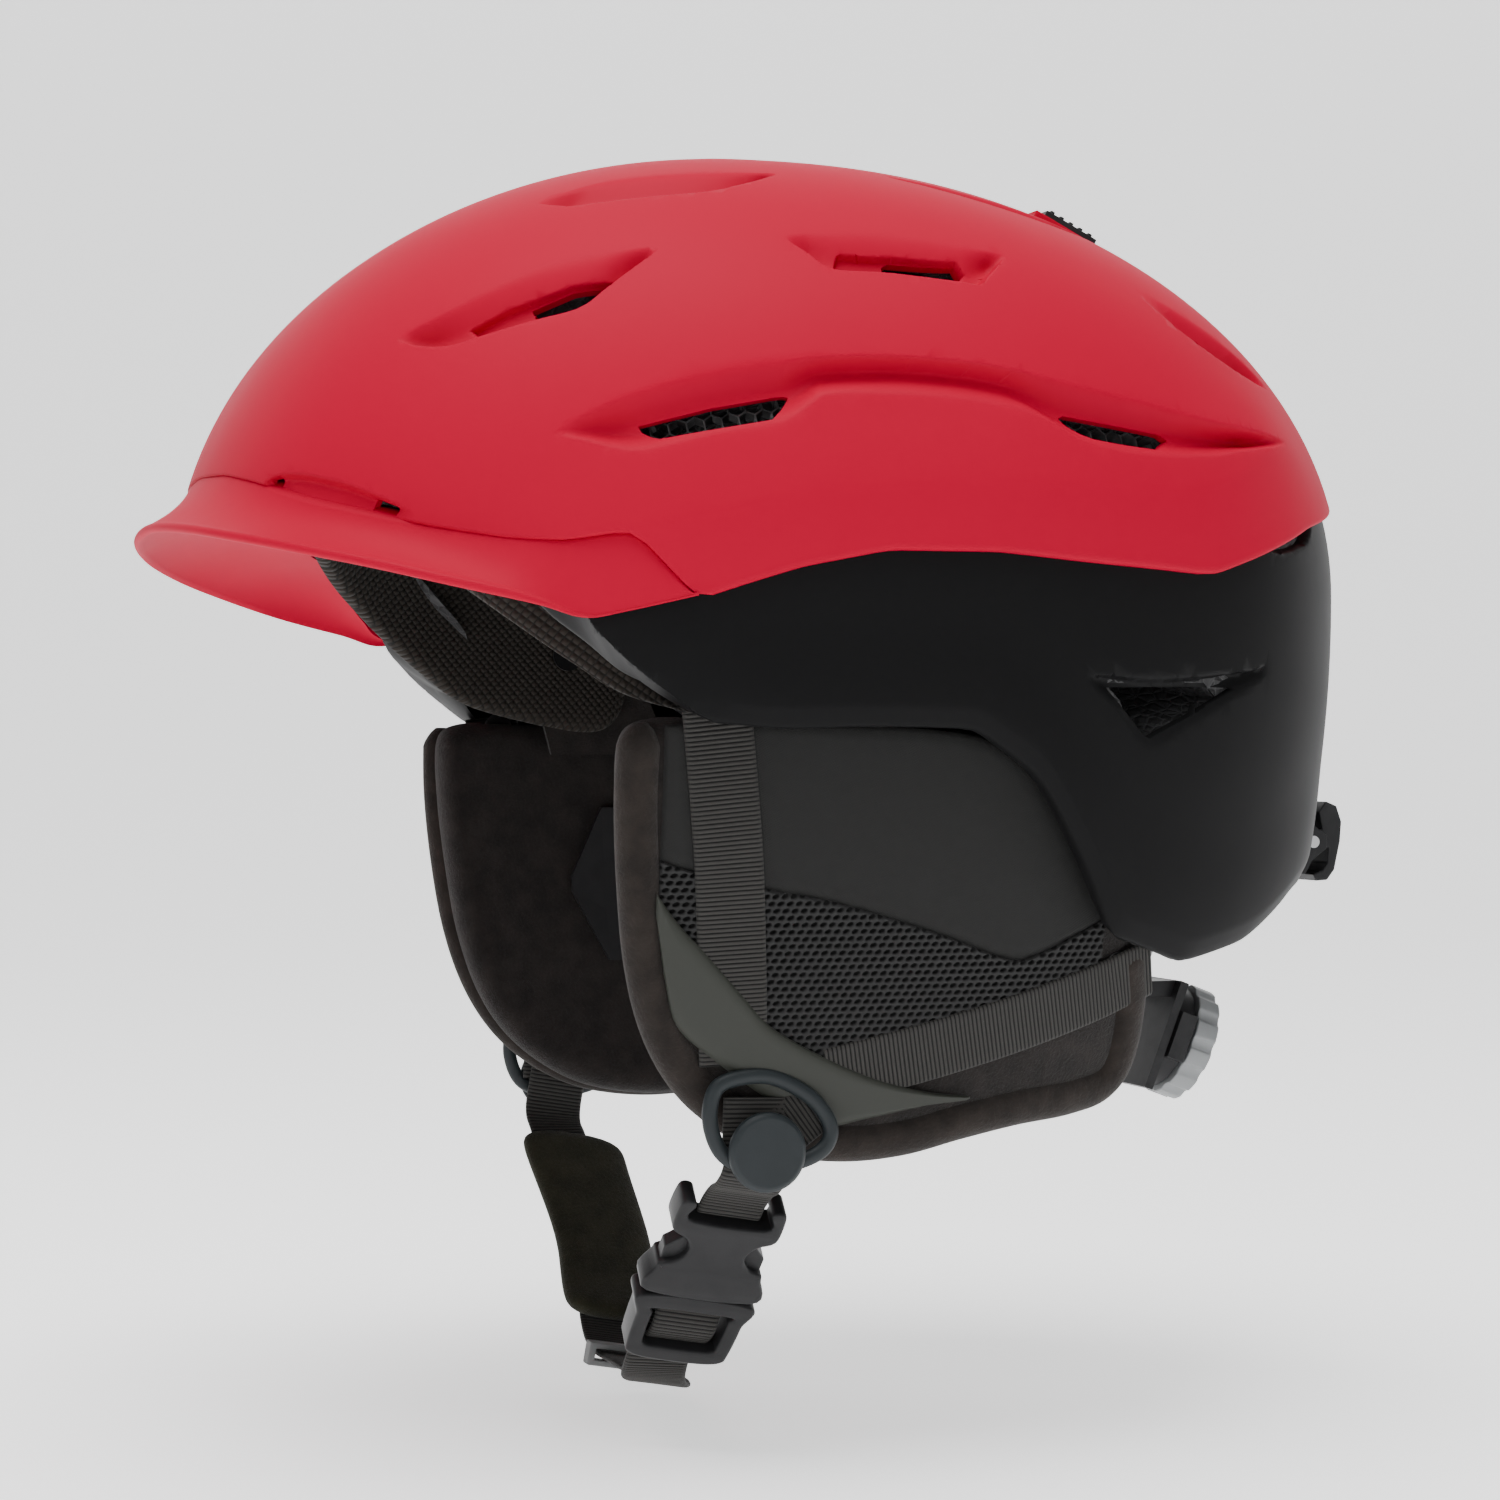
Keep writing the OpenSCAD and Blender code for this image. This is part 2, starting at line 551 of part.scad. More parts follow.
// Fit cradle: a band inside the liner from temple to temple, dipping to the nape
cradle_pivot = [81, -20, -12];
cradle_edge = [[77, -6], [90, -10], [110, -22], [130, -33], [150, -40.5], [180, -43]];
cradle_depth = 30;
module cradle_band() {
  angles = [for (i = [0 : 28]) 76 + i * (360 - 152) / 28];
  mids = [for (a = angles) lookup(mirrored_angle(a), cradle_edge)];
  color([0.08, 0.08, 0.08])
  resize([0, 0, 0]) difference() {
    union() {
      shell_band(angles, [for (m = mids) m - 3.2], [for (m = mids) m + 3.2], 3, cradle_depth, cradle_depth + 1.8);
      dial_frame() translate([0, 1, -1.6]) cube([30, 28, 2.2], center = true);
      // Shelf that carries the dial's plate behind the band
      translate([0, 106.8, -96.5]) cube([24, 13.6, 4], center = true);
    }
    for (side = [-1, 1])
      translate([side * 80, cradle_pivot[1], cradle_pivot[2]]) rotate([0, 90, 0])
        cylinder(h = 12, r = 2.6, center = true, $fn = 24);
  }
}
module temple_pins() {
  color([0.6, 0.6, 0.62])
  for (side = [-1, 1])
    on_side(side) translate([0, cradle_pivot[1], cradle_pivot[2]]) rotate([0, 90, 0]) {
      translate([0, 0, 79]) cylinder(h = 10, r = 2, $fn = 32);
      translate([0, 0, 78]) cylinder(h = 1.2, r = 4, $fn = 32);
    }
}
dial_home = [0, 111, -107.5];
module dial_frame() translate(dial_home) rotate([-90 - dial_tilt, 0, 0]) children();
housing_h = 5.4;
module dial_housing() {
  color([0.06, 0.06, 0.06])
  dial_frame() difference() {
    union() {
      cylinder(h = housing_h, r = 13.2, $fn = 64);
      translate([-16, -6, 0]) cube([32, 12, housing_h - 1]);
    }
    translate([0, 0, -1]) cylinder(h = 5, r = 8, $fn = 64);
    cylinder(h = 20, r = 2.56, $fn = 48, center = true);
  }
}
module dial_spool() {
  color([0.3, 0.3, 0.3])
  dial_frame() {
    translate([0, 0, 0.2]) cylinder(h = 3.4, r = 7, $fn = 48);
    translate([0, 0, 3.6]) cylinder(h = housing_h - 3, r = 2.5, $fn = 48);
  }
}
module dial_knob() {
  color([0.55, 0.56, 0.57])
  dial_frame() translate([0, 0, housing_h + 0.6]) difference() {
    cylinder(h = dial_thick, r = dial_d / 2, $fn = 64);
    for (i = [0 : 11])
      rotate([0, 0, i * 30]) translate([dial_d / 2 + 2.4, 0, -1]) cylinder(h = dial_thick + 2, r = 3.1, $fn = 24);
  }
}
module nape_pad() {
  angles = [for (i = [0 : 8]) 148 + i * 8];
  color([0.09, 0.09, 0.09])
  shell_band(angles, [for (a = angles) -46], [for (a = angles) -37], 3, cradle_depth + 2.2, cradle_depth + 7);
}

// Goggle clip on the rear of the lower shell: a lever on a crosswise pin, whose foot
// swings out from the shell to let the strap in
clip_pin_place = [0, 149.5, -60];
clip_w = 24;
pin_r = 1.5;
module goggle_clip_base() {
  color([0.06, 0.06, 0.06])
  difference() {
    union() {
      for (side = [-1, 1])
        translate([side * (clip_w / 2 + 2.2), 0, 0]) rotate([90, 0, 90]) linear_extrude(3, center = true)
          polygon([[145, -68], [145, -55], [149, -55.5], [153, -58.4], [153, -61.6], [149, -64.5], [147, -68]]);
      translate([0, 145.2, -61.5]) cube([clip_w + 7.4, 2, 13], center = true);
    }
    translate(clip_pin_place) rotate([0, 90, 0]) cylinder(h = 60, r = pin_r + 0.05, center = true, $fn = 32);
  }
}
module goggle_clip_pin() {
  color([0.6, 0.6, 0.62])
  translate(clip_pin_place) rotate([0, 90, 0]) cylinder(h = clip_w + 7.2, r = pin_r, center = true, $fn = 32);
}
module goggle_clip() {
  color([0.05, 0.05, 0.05])
  translate(clip_pin_place) rotate([90, 0, 90]) difference() {
    union() {
      cylinder(h = clip_w, r = 2.6, center = true, $fn = 40);
      linear_extrude(clip_w, center = true)
        polygon([[-0.5, 2.2], [4.2, 3], [3.2, 7.5], [5.2, 10.2], [8.2, 9], [9.6, 5], [9.2, 0], [7.6, -7.2],
          [5.6, -9.8], [2.4, -10], [1.6, -8.2], [4.2, -7.4], [5.6, -5.4], [6, -1.5], [2, -1.2], [-0.5, -2]]);
    }
    cylinder(h = clip_w + 2, r = pin_r + 0.05, center = true, $fn = 40);
  }
}

upper_shell();
lower_shell();
brim();
eps_liner();
on_side(1) grille(0);  // grille_front_left
on_side(-1) grille(0);  // grille_front_right
on_side(1) grille(1);  // grille_rear_left
on_side(-1) grille(1);  // grille_rear_right
slider_track();
vent_slider();
on_side(1) vent_shutter();  // vent_shutter_left
on_side(-1) vent_shutter();  // vent_shutter_right
brow_pad();
crown_pad();
on_side(1) side_pad();  // side_pad_left
on_side(-1) side_pad();  // side_pad_right
on_side(1) ear_pad();  // ear_pad_left
on_side(-1) ear_pad();  // ear_pad_right
on_side(1) ear_plate();  // ear_plate_left
on_side(-1) ear_plate();  // ear_plate_right
on_side(1) ear_tab();  // ear_tab_left
on_side(-1) ear_tab();  // ear_tab_right
on_side(1) keeper_band();  // keeper_band_left
on_side(-1) keeper_band();  // keeper_band_right
on_side(1) front_strap();  // front_strap_left
on_side(-1) front_strap();  // front_strap_right
on_side(1) rear_strap();  // rear_strap_left
on_side(-1) rear_strap();  // rear_strap_right
strap_anchors();
on_side(1) strap_divider();  // strap_divider_left
on_side(-1) strap_divider();  // strap_divider_right
cradle_band();
temple_pins();
dial_housing();
dial_spool();
dial_knob();
nape_pad();
goggle_clip_base();
goggle_clip_pin();
goggle_clip();
on_side(1) strap_cap();  // strap_cap_left
on_side(-1) strap_cap();  // strap_cap_right
chin_strap_left();
chin_strap_right();
buckle_socket();
buckle_plug();
buckle_prong(-1);  // buckle_prong_front
buckle_prong(1);  // buckle_prong_rear
chin_strap_middle();
chin_pad();
strap_keeper();
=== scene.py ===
"""Ski helmet: the looks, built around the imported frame.

Shells, liner and pads are surfaces over directions from the centre of the head opening. A
direction is an angle phi from the brow and an elevation w; a depth is how far below the
outer form a point lies. Lengths in the shape functions are millimetres and turn into
metres when a mesh is made.
"""
import math

import bmesh
import bpy
import numpy as np
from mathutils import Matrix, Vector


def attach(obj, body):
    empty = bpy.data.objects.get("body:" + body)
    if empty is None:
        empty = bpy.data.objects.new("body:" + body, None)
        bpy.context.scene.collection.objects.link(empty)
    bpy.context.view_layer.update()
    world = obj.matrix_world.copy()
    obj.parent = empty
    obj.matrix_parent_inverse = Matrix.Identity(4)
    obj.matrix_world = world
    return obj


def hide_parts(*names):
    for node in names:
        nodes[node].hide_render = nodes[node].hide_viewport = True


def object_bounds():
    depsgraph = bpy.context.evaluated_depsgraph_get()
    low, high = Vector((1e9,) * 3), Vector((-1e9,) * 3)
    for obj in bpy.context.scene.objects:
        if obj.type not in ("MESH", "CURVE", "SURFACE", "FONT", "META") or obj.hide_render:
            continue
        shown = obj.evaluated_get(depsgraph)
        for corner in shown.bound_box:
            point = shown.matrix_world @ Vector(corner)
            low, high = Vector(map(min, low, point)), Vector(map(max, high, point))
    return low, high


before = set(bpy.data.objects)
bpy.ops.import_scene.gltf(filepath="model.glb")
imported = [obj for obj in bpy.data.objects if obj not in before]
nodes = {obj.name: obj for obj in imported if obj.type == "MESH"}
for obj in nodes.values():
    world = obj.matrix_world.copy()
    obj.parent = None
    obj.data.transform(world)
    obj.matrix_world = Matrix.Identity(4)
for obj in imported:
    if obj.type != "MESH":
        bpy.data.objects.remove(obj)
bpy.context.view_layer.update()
MM = 0.001

# Driving sizes of the form, as in the CAD model
HALF_WIDE, REACH_FRONT, REACH_REAR, REACH_TOP, REACH_LOW = 113.0, 133.5, 148.0, 105.0, 207.0
PLAN_POWER, WALL_POWER = 2.4, 2.05
LOWER_DEPTH = 2.2
ROOF_THICK, SKIRT_THICK = 1.5, 1.4
LINER_OUT, LINER_IN = 4.3, 27.0
PAD_DEPTH = 28.1
EAR_OUT, EAR_IN = 10.0, 25.0
PANEL_DEPTH, KEEPER_DEPTH, ROLL_DEPTH, STRAP_DEPTH = 9.95, 8.3, 11.9, 9.1
WEB_WIDE, WEB_THICK, RIB_PITCH = 15.0, 1.5, 1.0
RING_OUT, WRAP_OUT = 89.0, 87.3
PLUG_OUT, PLUG_DROP = 74.0, 12.5


# ---------------------------------------------------------------- form
def form(phi, w, depth=0.0):
    """Point of the form at angles phi and w in degrees, with every half axis shortened by depth.
    Plan term: (|x| / half width) to the plan power plus (|y| / reach) to the plan power. That sum,
    to the wall power over the plan power, plus (|z| / height) to the wall power is 1 on the form."""
    phi, w = np.radians(phi), np.radians(w)
    x, y, z = np.sin(phi) * np.cos(w), -np.cos(phi) * np.cos(w), np.sin(w)
    b = np.where(y < 0, REACH_FRONT, REACH_REAR) - depth
    c = np.where(z > 0, REACH_TOP, REACH_LOW) - depth
    plan = (np.abs(x) / (HALF_WIDE - depth)) ** PLAN_POWER + (np.abs(y) / b) ** PLAN_POWER
    r = (plan ** (WALL_POWER / PLAN_POWER) + (np.abs(z) / c) ** WALL_POWER) ** (-1 / WALL_POWER)
    return np.stack([r * x, r * y, r * z], -1)


def side_x(y, z, depth):
    """How far out the side wall lies at y and z, at a depth below the form."""
    b = np.where(y < 0, REACH_FRONT, REACH_REAR) - depth
    c = np.where(z > 0, REACH_TOP, REACH_LOW) - depth
    upright = (1 - (np.abs(z) / c) ** WALL_POWER) ** (PLAN_POWER / WALL_POWER)
    return (HALF_WIDE - depth) * (upright - (np.abs(y) / b) ** PLAN_POWER) ** (1 / PLAN_POWER)


def angles_of(direction):
    """Angles phi and w, in degrees, of each direction; phi is mirrored onto the left side."""
    x, y, z = direction[:, 0], direction[:, 1], direction[:, 2]
    return np.degrees(np.arctan2(np.abs(x), -y)), np.degrees(np.arctan2(z, np.hypot(x, y)))


def smooth(t):
    """Smooth step from 0 to 1 over t from 0 to 1."""
    t = np.clip(t, 0, 1)
    return t * t * (3 - 2 * t)


def flow(points, count=80, closed=False):
    """Catmull-Rom curve through a few points, as count points."""
    p = np.asarray(points, float)
    p = np.vstack([p[-1], p, p[:2]]) if closed else np.vstack([2 * p[0] - p[1], p, 2 * p[-1] - p[-2]])
    spans = len(p) - 3
    t = np.linspace(0, spans, count, endpoint=not closed)
    i = np.minimum(t.astype(int), spans - 1)
    t = (t - i)[:, None]
    a, b, c, d = p[i], p[i + 1], p[i + 2], p[i + 3]
    return 0.5 * (2 * b + (c - a) * t + (2 * a - 5 * b + 4 * c - d) * t**2 + (3 * b - a - 3 * c + d) * t**3)


def line(points):
    """Function of phi that follows a smooth curve through (phi, w) points."""
    curve = flow(points)
    return lambda phi: np.interp(phi, curve[:, 0], curve[:, 1])


def polygon_distance(u, v, corners):
    """Distance from (u, v) to a polygon's outline, negative inside."""
    corners = np.asarray(corners, float)
    best = np.full(u.shape, 1e9)
    inside = np.zeros(u.shape, bool)
    for (ax, ay), (bx, by) in zip(corners, np.roll(corners, -1, 0)):
        ex, ey = bx - ax, by - ay
        t = np.clip(((u - ax) * ex + (v - ay) * ey) / (ex * ex + ey * ey), 0, 1)
        best = np.minimum(best, np.hypot(u - ax - t * ex, v - ay - t * ey))
        crosses = (ay > v) != (by > v)
        inside ^= crosses & (u < ex * (v - ay) / (ey if abs(ey) > 1e-9 else 1e-9) + ax)
    return np.where(inside, -best, best)


# Edges of the two shells, as elevation by angle from the brow
UPPER_EDGE = np.array([(0, 11.5), (12, 10.8), (20, 9.5), (28, 7.4), (36, 5.9), (43.5, 4.5), (50.5, 3.5),
                       (56, 3.3), (60, 4), (62.6, 4.4), (65.2, 1.6), (69, -2.6), (73, -1.2), (80, 1),
                       (90, 3), (103, 3), (114, 2), (129, 1), (136, 3), (146, 6), (165, 9), (180, 10)],
                      float)
LOWER_EDGE = np.array([(0, 10.5), (27, 9.5), (38, 7.5), (44, 4), (47.5, -0.6), (51, -4.4), (55, -7.5),
                       (59, -11.2), (64, -13.6), (70, -15.5), (78, -16.5), (101, -16.5), (109, -21),
                       (116, -29), (121, -35), (132, -36), (142, -33), (152, -28), (166, -25),
                       (180, -24.5)], float)


def rounded_edge(table):
    """Edge function whose corners are rounded by averaging it over a few degrees."""
    phi = np.arange(-20, 200.5, 0.5)
    mirrored = np.where(phi < 0, -phi, np.where(phi > 180, 360 - phi, phi))
    raw = np.interp(mirrored, table[:, 0], table[:, 1])
    bell = np.exp(-(np.arange(-8, 9) / 2.6) ** 2)
    soft = np.convolve(np.pad(raw, 8, mode="edge"), bell / bell.sum(), "valid")
    return lambda a: np.interp(a, phi, soft)


upper_edge = rounded_edge(UPPER_EDGE)
lower_edge = rounded_edge(LOWER_EDGE)
DEG = 2.1  # millimetres to a degree on the side walls


# ---------------------------------------------------------------- vents
class Pocket:
    """A vent's pocket. Its wall falls from the upper line to a foot and climbs back to the
    surface at the lower line; foot gives both ends of the foot as shares of the way down, as
    numbers or as functions of phi. A slot sinks a step deeper inside its outline, and the
    opening is cut right through."""

    def __init__(self, top, low, depth, opening=None, slot=None, foot=(0.72, 0.86), ramp=(5, 4)):
        self.top, self.low, self.foot, self.ramp, self.slot = line(top), line(low), foot, ramp, slot
        self.start, self.end = top[0][0], top[-1][0]
        self.depth = depth
        self.opening = opening
        self.squeeze = math.cos(math.radians(np.mean([p[1] for p in top])))

    def distance(self, phi, w, outline):
        """Distance in millimetres to an outline of (phi, w) points, negative inside it."""
        scale = np.array([DEG * self.squeeze, DEG])
        return polygon_distance(phi * scale[0], w * scale[1], np.array(outline) * scale)

    def sink(self, phi, w):
        """Depth of the pocket at each place."""
        top, low = self.top(phi), self.low(phi)
        gap = np.maximum(top - low, 1e-3)
        down = np.clip((top - w) / gap, 0, 1)
        first, last = (f(phi) if callable(f) else f for f in self.foot)
        fall = smooth(down / first)
        climb = 1 - smooth((down - last) / (1 - last))
        ends = smooth((phi - self.start) / self.ramp[0]) * smooth((self.end - phi) / self.ramp[1])
        sunk = self.depth * fall * climb * ends * np.clip(gap * DEG / 5, 0, 1)
        if self.slot is not None:
            sunk = sunk + 1.5 * smooth(-self.distance(phi, w, self.slot) / 0.5)
        return sunk

    def hole(self, phi, w):
        """Distance to the opening, negative inside it."""
        return np.full(phi.shape, 1e9) if self.opening is None else self.distance(phi, w, self.opening)


FRONT_VENT = Pocket(
    top=[(33, 24.5), (37.5, 27.4), (42, 31.2), (47, 34.8), (52.5, 37.4), (58, 39), (62.5, 40)],
    low=[(33, 24.3), (36.5, 23.4), (40.5, 23.3), (44, 24.6), (49.4, 26.9), (54.2, 29), (57, 32.6),
         (62.5, 39.8)],
    depth=3.6,
    slot=[(41, 26.4), (43.3, 24.7), (49.4, 27), (54.2, 29.1), (57.5, 33.2), (57.1, 34.8), (51.6, 33.2),
          (44.6, 29.2)],
    opening=[(47, 29.9), (49.4, 27.1), (54.2, 29.2), (57.3, 33.1), (57, 34.5), (51.6, 32.8)])
CROWN_VENT = Pocket(
    top=[(37.5, 48.8), (41, 52.4), (45, 55.6), (53, 58.6), (67, 61.5), (85, 63.4)],
    low=[(37.5, 48.2), (44.5, 47.4), (48.7, 48.5), (57, 50.9), (67.5, 53.8), (74, 57), (85, 63)],
    depth=3.2,
    opening=[(48.4, 49), (57, 51.2), (67.6, 54), (72.4, 56.6), (68, 57.2), (58, 54.9), (49.8, 51.4)])
REAR_VENT = Pocket(
    top=[(80.5, 44.4), (87, 45.5), (97, 45.8), (106, 44.2), (112.5, 42.3), (118, 41)],
    low=[(80.5, 43.8), (84, 41), (87.2, 38.4), (96, 38), (106, 36.5), (109.5, 35.8), (112, 37.4),
         (118, 40.8)],
    depth=3.2,
    slot=[(88.3, 40.6), (89.4, 42.6), (99, 42.3), (109.2, 40.8), (110, 39), (106.3, 36.9), (96, 38.2),
          (89.8, 38.7)],
    opening=[(97.2, 42.1), (109, 40.6), (109.7, 39), (106.2, 37.1), (96.4, 38.4)])
SIDE_RECESS = Pocket(
    top=[(53.5, 14), (57.4, 16.6), (61.5, 19), (66.5, 21.2), (73.6, 23.5), (81.5, 25), (88.2, 25.6),
         (95, 25.7), (104.6, 24.6), (114, 22.3), (123, 19.7), (133, 16.9), (146.5, 14.3)],
    low=[(53.5, 13.8), (57, 13.4), (60.3, 12.6), (63.5, 12.5), (71, 14.8), (78, 16.4), (81, 18.4),
         (84, 20.2), (94.5, 20.4), (104, 19.2), (109.5, 17.6), (112.5, 15.6), (115, 14.2), (121, 13),
         (129, 12.7), (137, 13.4), (146.5, 14.2)],
    depth=4.2,
    foot=(line([(50, 0.45), (75, 0.45), (84, 0.26), (94, 0.22), (107, 0.22), (116, 0.42), (150, 0.45)]),
          line([(50, 0.56), (75, 0.56), (84, 0.36), (94, 0.3), (107, 0.3), (116, 0.54), (150, 0.56)])),
    ramp=(7, 8))
SIDE_OPENINGS = [
    [(61.6, 15.8), (64.4, 14.2), (71, 15.6), (77.2, 17.1), (79.2, 20.7), (78.2, 20.8), (70, 18.7),
     (63.6, 16.5)],
    [(113.6, 18.9), (115.2, 15.5), (119.6, 14.7), (124.4, 13.9), (127.8, 15.3), (127, 16), (117.4, 18.1)]]
TAIL_VENT = Pocket(
    top=[(136, 34.2), (139, 32.6), (142, 30.4), (147, 25.8), (151.5, 20.8)],
    low=[(136, 33.6), (137.6, 28.5), (140, 25.4), (143, 23), (147, 21.2), (151.5, 20.4)],
    depth=3.4, opening=[(138.6, 27.6), (141, 25.2), (146.6, 21.9), (147, 23.4), (142, 27.6), (139.4, 29.2)])
CREST_POCKET = Pocket(
    top=[(122, 65), (130, 61.6), (138, 56), (146, 50), (154, 44.5)],
    low=[(122, 64), (129, 57.5), (137, 50.5), (145, 45.6), (154, 44)],
    depth=3, opening=[(130.5, 57.6), (138, 50.8), (142.5, 48.2), (142, 50), (136, 54.6), (132, 58)])
BROW_POCKET = Pocket(
    top=[(21.5, 9.6), (24, 10.2), (28, 10), (33, 9), (37, 7.7), (41.5, 6)],
    low=[(21.5, 6.4), (24, 5.6), (28, 4.6), (33, 3.4), (37, 2.8), (41.5, 2.2)],
    depth=1.7, foot=(0.16, 0.95), ramp=(0.8, 4))
BROW_GAPS = [[(22.3, 9.7), (24, 10), (23.4, 7.4), (22.2, 7.4)],
             [(36.6, 7.4), (39.6, 6.4), (38.2, 5), (36, 5.8)]]
ROOF_POCKETS = [FRONT_VENT, CROWN_VENT, REAR_VENT, SIDE_RECESS, TAIL_VENT, CREST_POCKET, BROW_POCKET]
side_ridge = line([(52, 3), (62, 4.6), (69, 6), (80, 8.6), (91, 10), (103, 10.6), (114, 10), (124, 9.2),
                   (132, 10.5), (141, 13.5), (150, 14)])


def both_sides(points):
    """Smooth curve through (phi, value) points that is mirrored in the middle plane."""
    return line([(-a, v) for a, v in points[:0:-1]] + points)


brim_tip_z = both_sides([(0, 13), (14, 11.2), (25, 7.8), (33, 4.5), (40, 1.2), (47, -2.7), (54, -6.5),
                         (58, -9.2), (62, -7.8), (69, -4.4)])
brim_reach = both_sides([(0, 8.4), (25, 9.2), (36, 8.8), (43, 8), (50, 5.8), (55, 3), (58, 1.7), (62, 0.9),
                          (69, 0.5)])
brim_root_depth = both_sides([(0, 22), (30, 22), (38, 20), (44, 15), (49, 9), (54, 4), (58, 0.8),
                              (69, 0.5)])
brim_root_z = both_sides([(0, 18), (14, 17.2), (27, 14), (36, 10.4), (43, 7.4), (48, 3.6), (54, -3),
                          (58, -7.4), (62, -7), (69, -3.6)])


def edge_roll(distance, radius):
    """Extra depth where a wall rolls inwards over its last few millimetres before an edge."""
    t = np.clip(1 - distance / radius, 0, 1)
    return radius * (1 - np.sqrt(1 - t * t))


def roof_depth(phi, w):
    """Depth of the red shell's outer face: its pockets, its side crease and its rolled edge."""
    depth = sum(pocket.sink(phi, w) for pocket in ROOF_POCKETS)
    span = smooth((phi - 50) / 14) * smooth((152 - phi) / 12)
    off = w - side_ridge(phi)
    crease = np.where(off > 0, 1 - off / 9, 1 + off / 7)
    depth = depth - 1.3 * np.sqrt(np.clip(crease, 0, 1) ** 2 + 0.004) * span
    radius = 1.1 - 0.6 * smooth((72 - phi) / 4)
    return depth + edge_roll((w - upper_edge(phi)) * DEG, radius)


def roof_hole(phi, w):
    """Distance to the nearest opening of the red shell."""
    holes = [pocket.hole(phi, w) for pocket in ROOF_POCKETS]
    squeeze = math.cos(math.radians(18))
    holes += [polygon_distance(phi * DEG * squeeze, w * DEG, np.array(o) * [DEG * squeeze, DEG])
              for o in SIDE_OPENINGS]
    holes += [polygon_distance(phi * DEG, w * DEG, np.array(o) * DEG) for o in BROW_GAPS]
    # The slot of the vent slider, on the crown's centre line
    along = (w - 44) * 2.4
    across = (180 - phi) * np.cos(np.radians(w)) * 2.3
    holes.append(np.maximum(np.abs(across) - 6.5, np.abs(along) - 13))
    return np.min(holes, 0)


WINDOW = [(117, -11.2), (134, -10), (122, -16)]
WINDOW_POCKET = Pocket(
    top=[(113, -9.8), (120, -9.6), (130, -8.9), (140, -7.4)],
    low=[(113, -10.2), (117.5, -13.2), (122, -17), (128, -14), (134, -10.6), (140, -7.8)],
    depth=2.2, foot=(0.16, 0.34))
TAIL_POCKET = Pocket(
    top=[(137.5, 5.4), (141, 7.2), (146, 7.8), (150, 7.6)],
    low=[(137.5, 4.6), (140, 3.4), (146, 4.2), (150, 6.6)],
    depth=3.2, foot=(0.4, 0.8))
temple_crease = line([(40, 11), (50, 7), (55, 1), (58, -4.6), (60, -6.9), (62, -8.9), (65, -11.4),
                      (69, -14.4), (73, -16.6), (80, -18.5), (130, -40), (181, -40)])


def temple_lip(phi, w):
    """Depth of the face that turns inwards below the crease at the temple, up to the liner's
    full thickness."""
    low, high = lower_edge(phi), temple_crease(phi)
    room = np.maximum(high - low, 0.4)
    return 15 * np.clip((high - w) / room, 0, 1) * np.clip((high - low) / 4, 0, 1)


def skirt_depth(phi, w):
    """Depth of the black shell's outer face."""
    depth = LOWER_DEPTH + sum(p.sink(phi, w) for p in (WINDOW_POCKET, TAIL_POCKET)) + temple_lip(phi, w)
    # A soft fold runs round the ear cut-out and along the rear foot
    reach = (w - lower_edge(phi)) * DEG
    depth = depth - 1.0 * smooth((reach - 1) / 5) * smooth((26 - reach) / 22) * smooth((phi - 66) / 10)
    return depth + edge_roll(reach, 2.0)


def skirt_hole(phi, w):
    """Distance to the nearest opening of the black shell."""
    squeeze = math.cos(math.radians(12))
    window = polygon_distance(phi * DEG * squeeze, w * DEG, np.array(WINDOW) * [DEG * squeeze, DEG])
    slot = np.maximum(np.abs((180 - phi) * 2.3) - 15, np.abs(w + 23) * 2.6 - 2.6)
    return np.minimum(window, slot)


# ---------------------------------------------------------------- meshes
def direction_grid(low, high, columns, rows):
    """Directions on a ring of columns by rows between two edges, with its triangles. A high
    edge at the pole closes in a fan."""
    phi = np.arange(columns) * 360 / columns
    folded = np.where(phi > 180, 360 - phi, phi)
    bottom, top = low(folded), high(folded)
    closed = np.all(top >= 90)
    steps = np.arange(rows) / (rows if closed else rows - 1)
    w = bottom[:, None] + (top - bottom)[:, None] * steps[None, :]
    p, q = np.radians(phi)[:, None] + 0 * w, np.radians(w)
    grid = np.stack([np.sin(p) * np.cos(q), -np.cos(p) * np.cos(q), np.sin(q)], -1).reshape(-1, 3)
    i, j = np.meshgrid(np.arange(columns), np.arange(rows - 1), indexing="ij")
    a = i * rows + j
    b = ((i + 1) % columns) * rows + j
    tris = np.stack([a, b, b + 1, a, b + 1, a + 1], -1).reshape(-1, 3)
    if closed:
        ring = np.arange(columns) * rows + rows - 1
        fan = np.stack([ring, np.roll(ring, -1), np.full(columns, len(grid))], -1)
        return np.vstack([grid, [0, 0, 1]]), np.vstack([tris, fan])
    return grid, tris


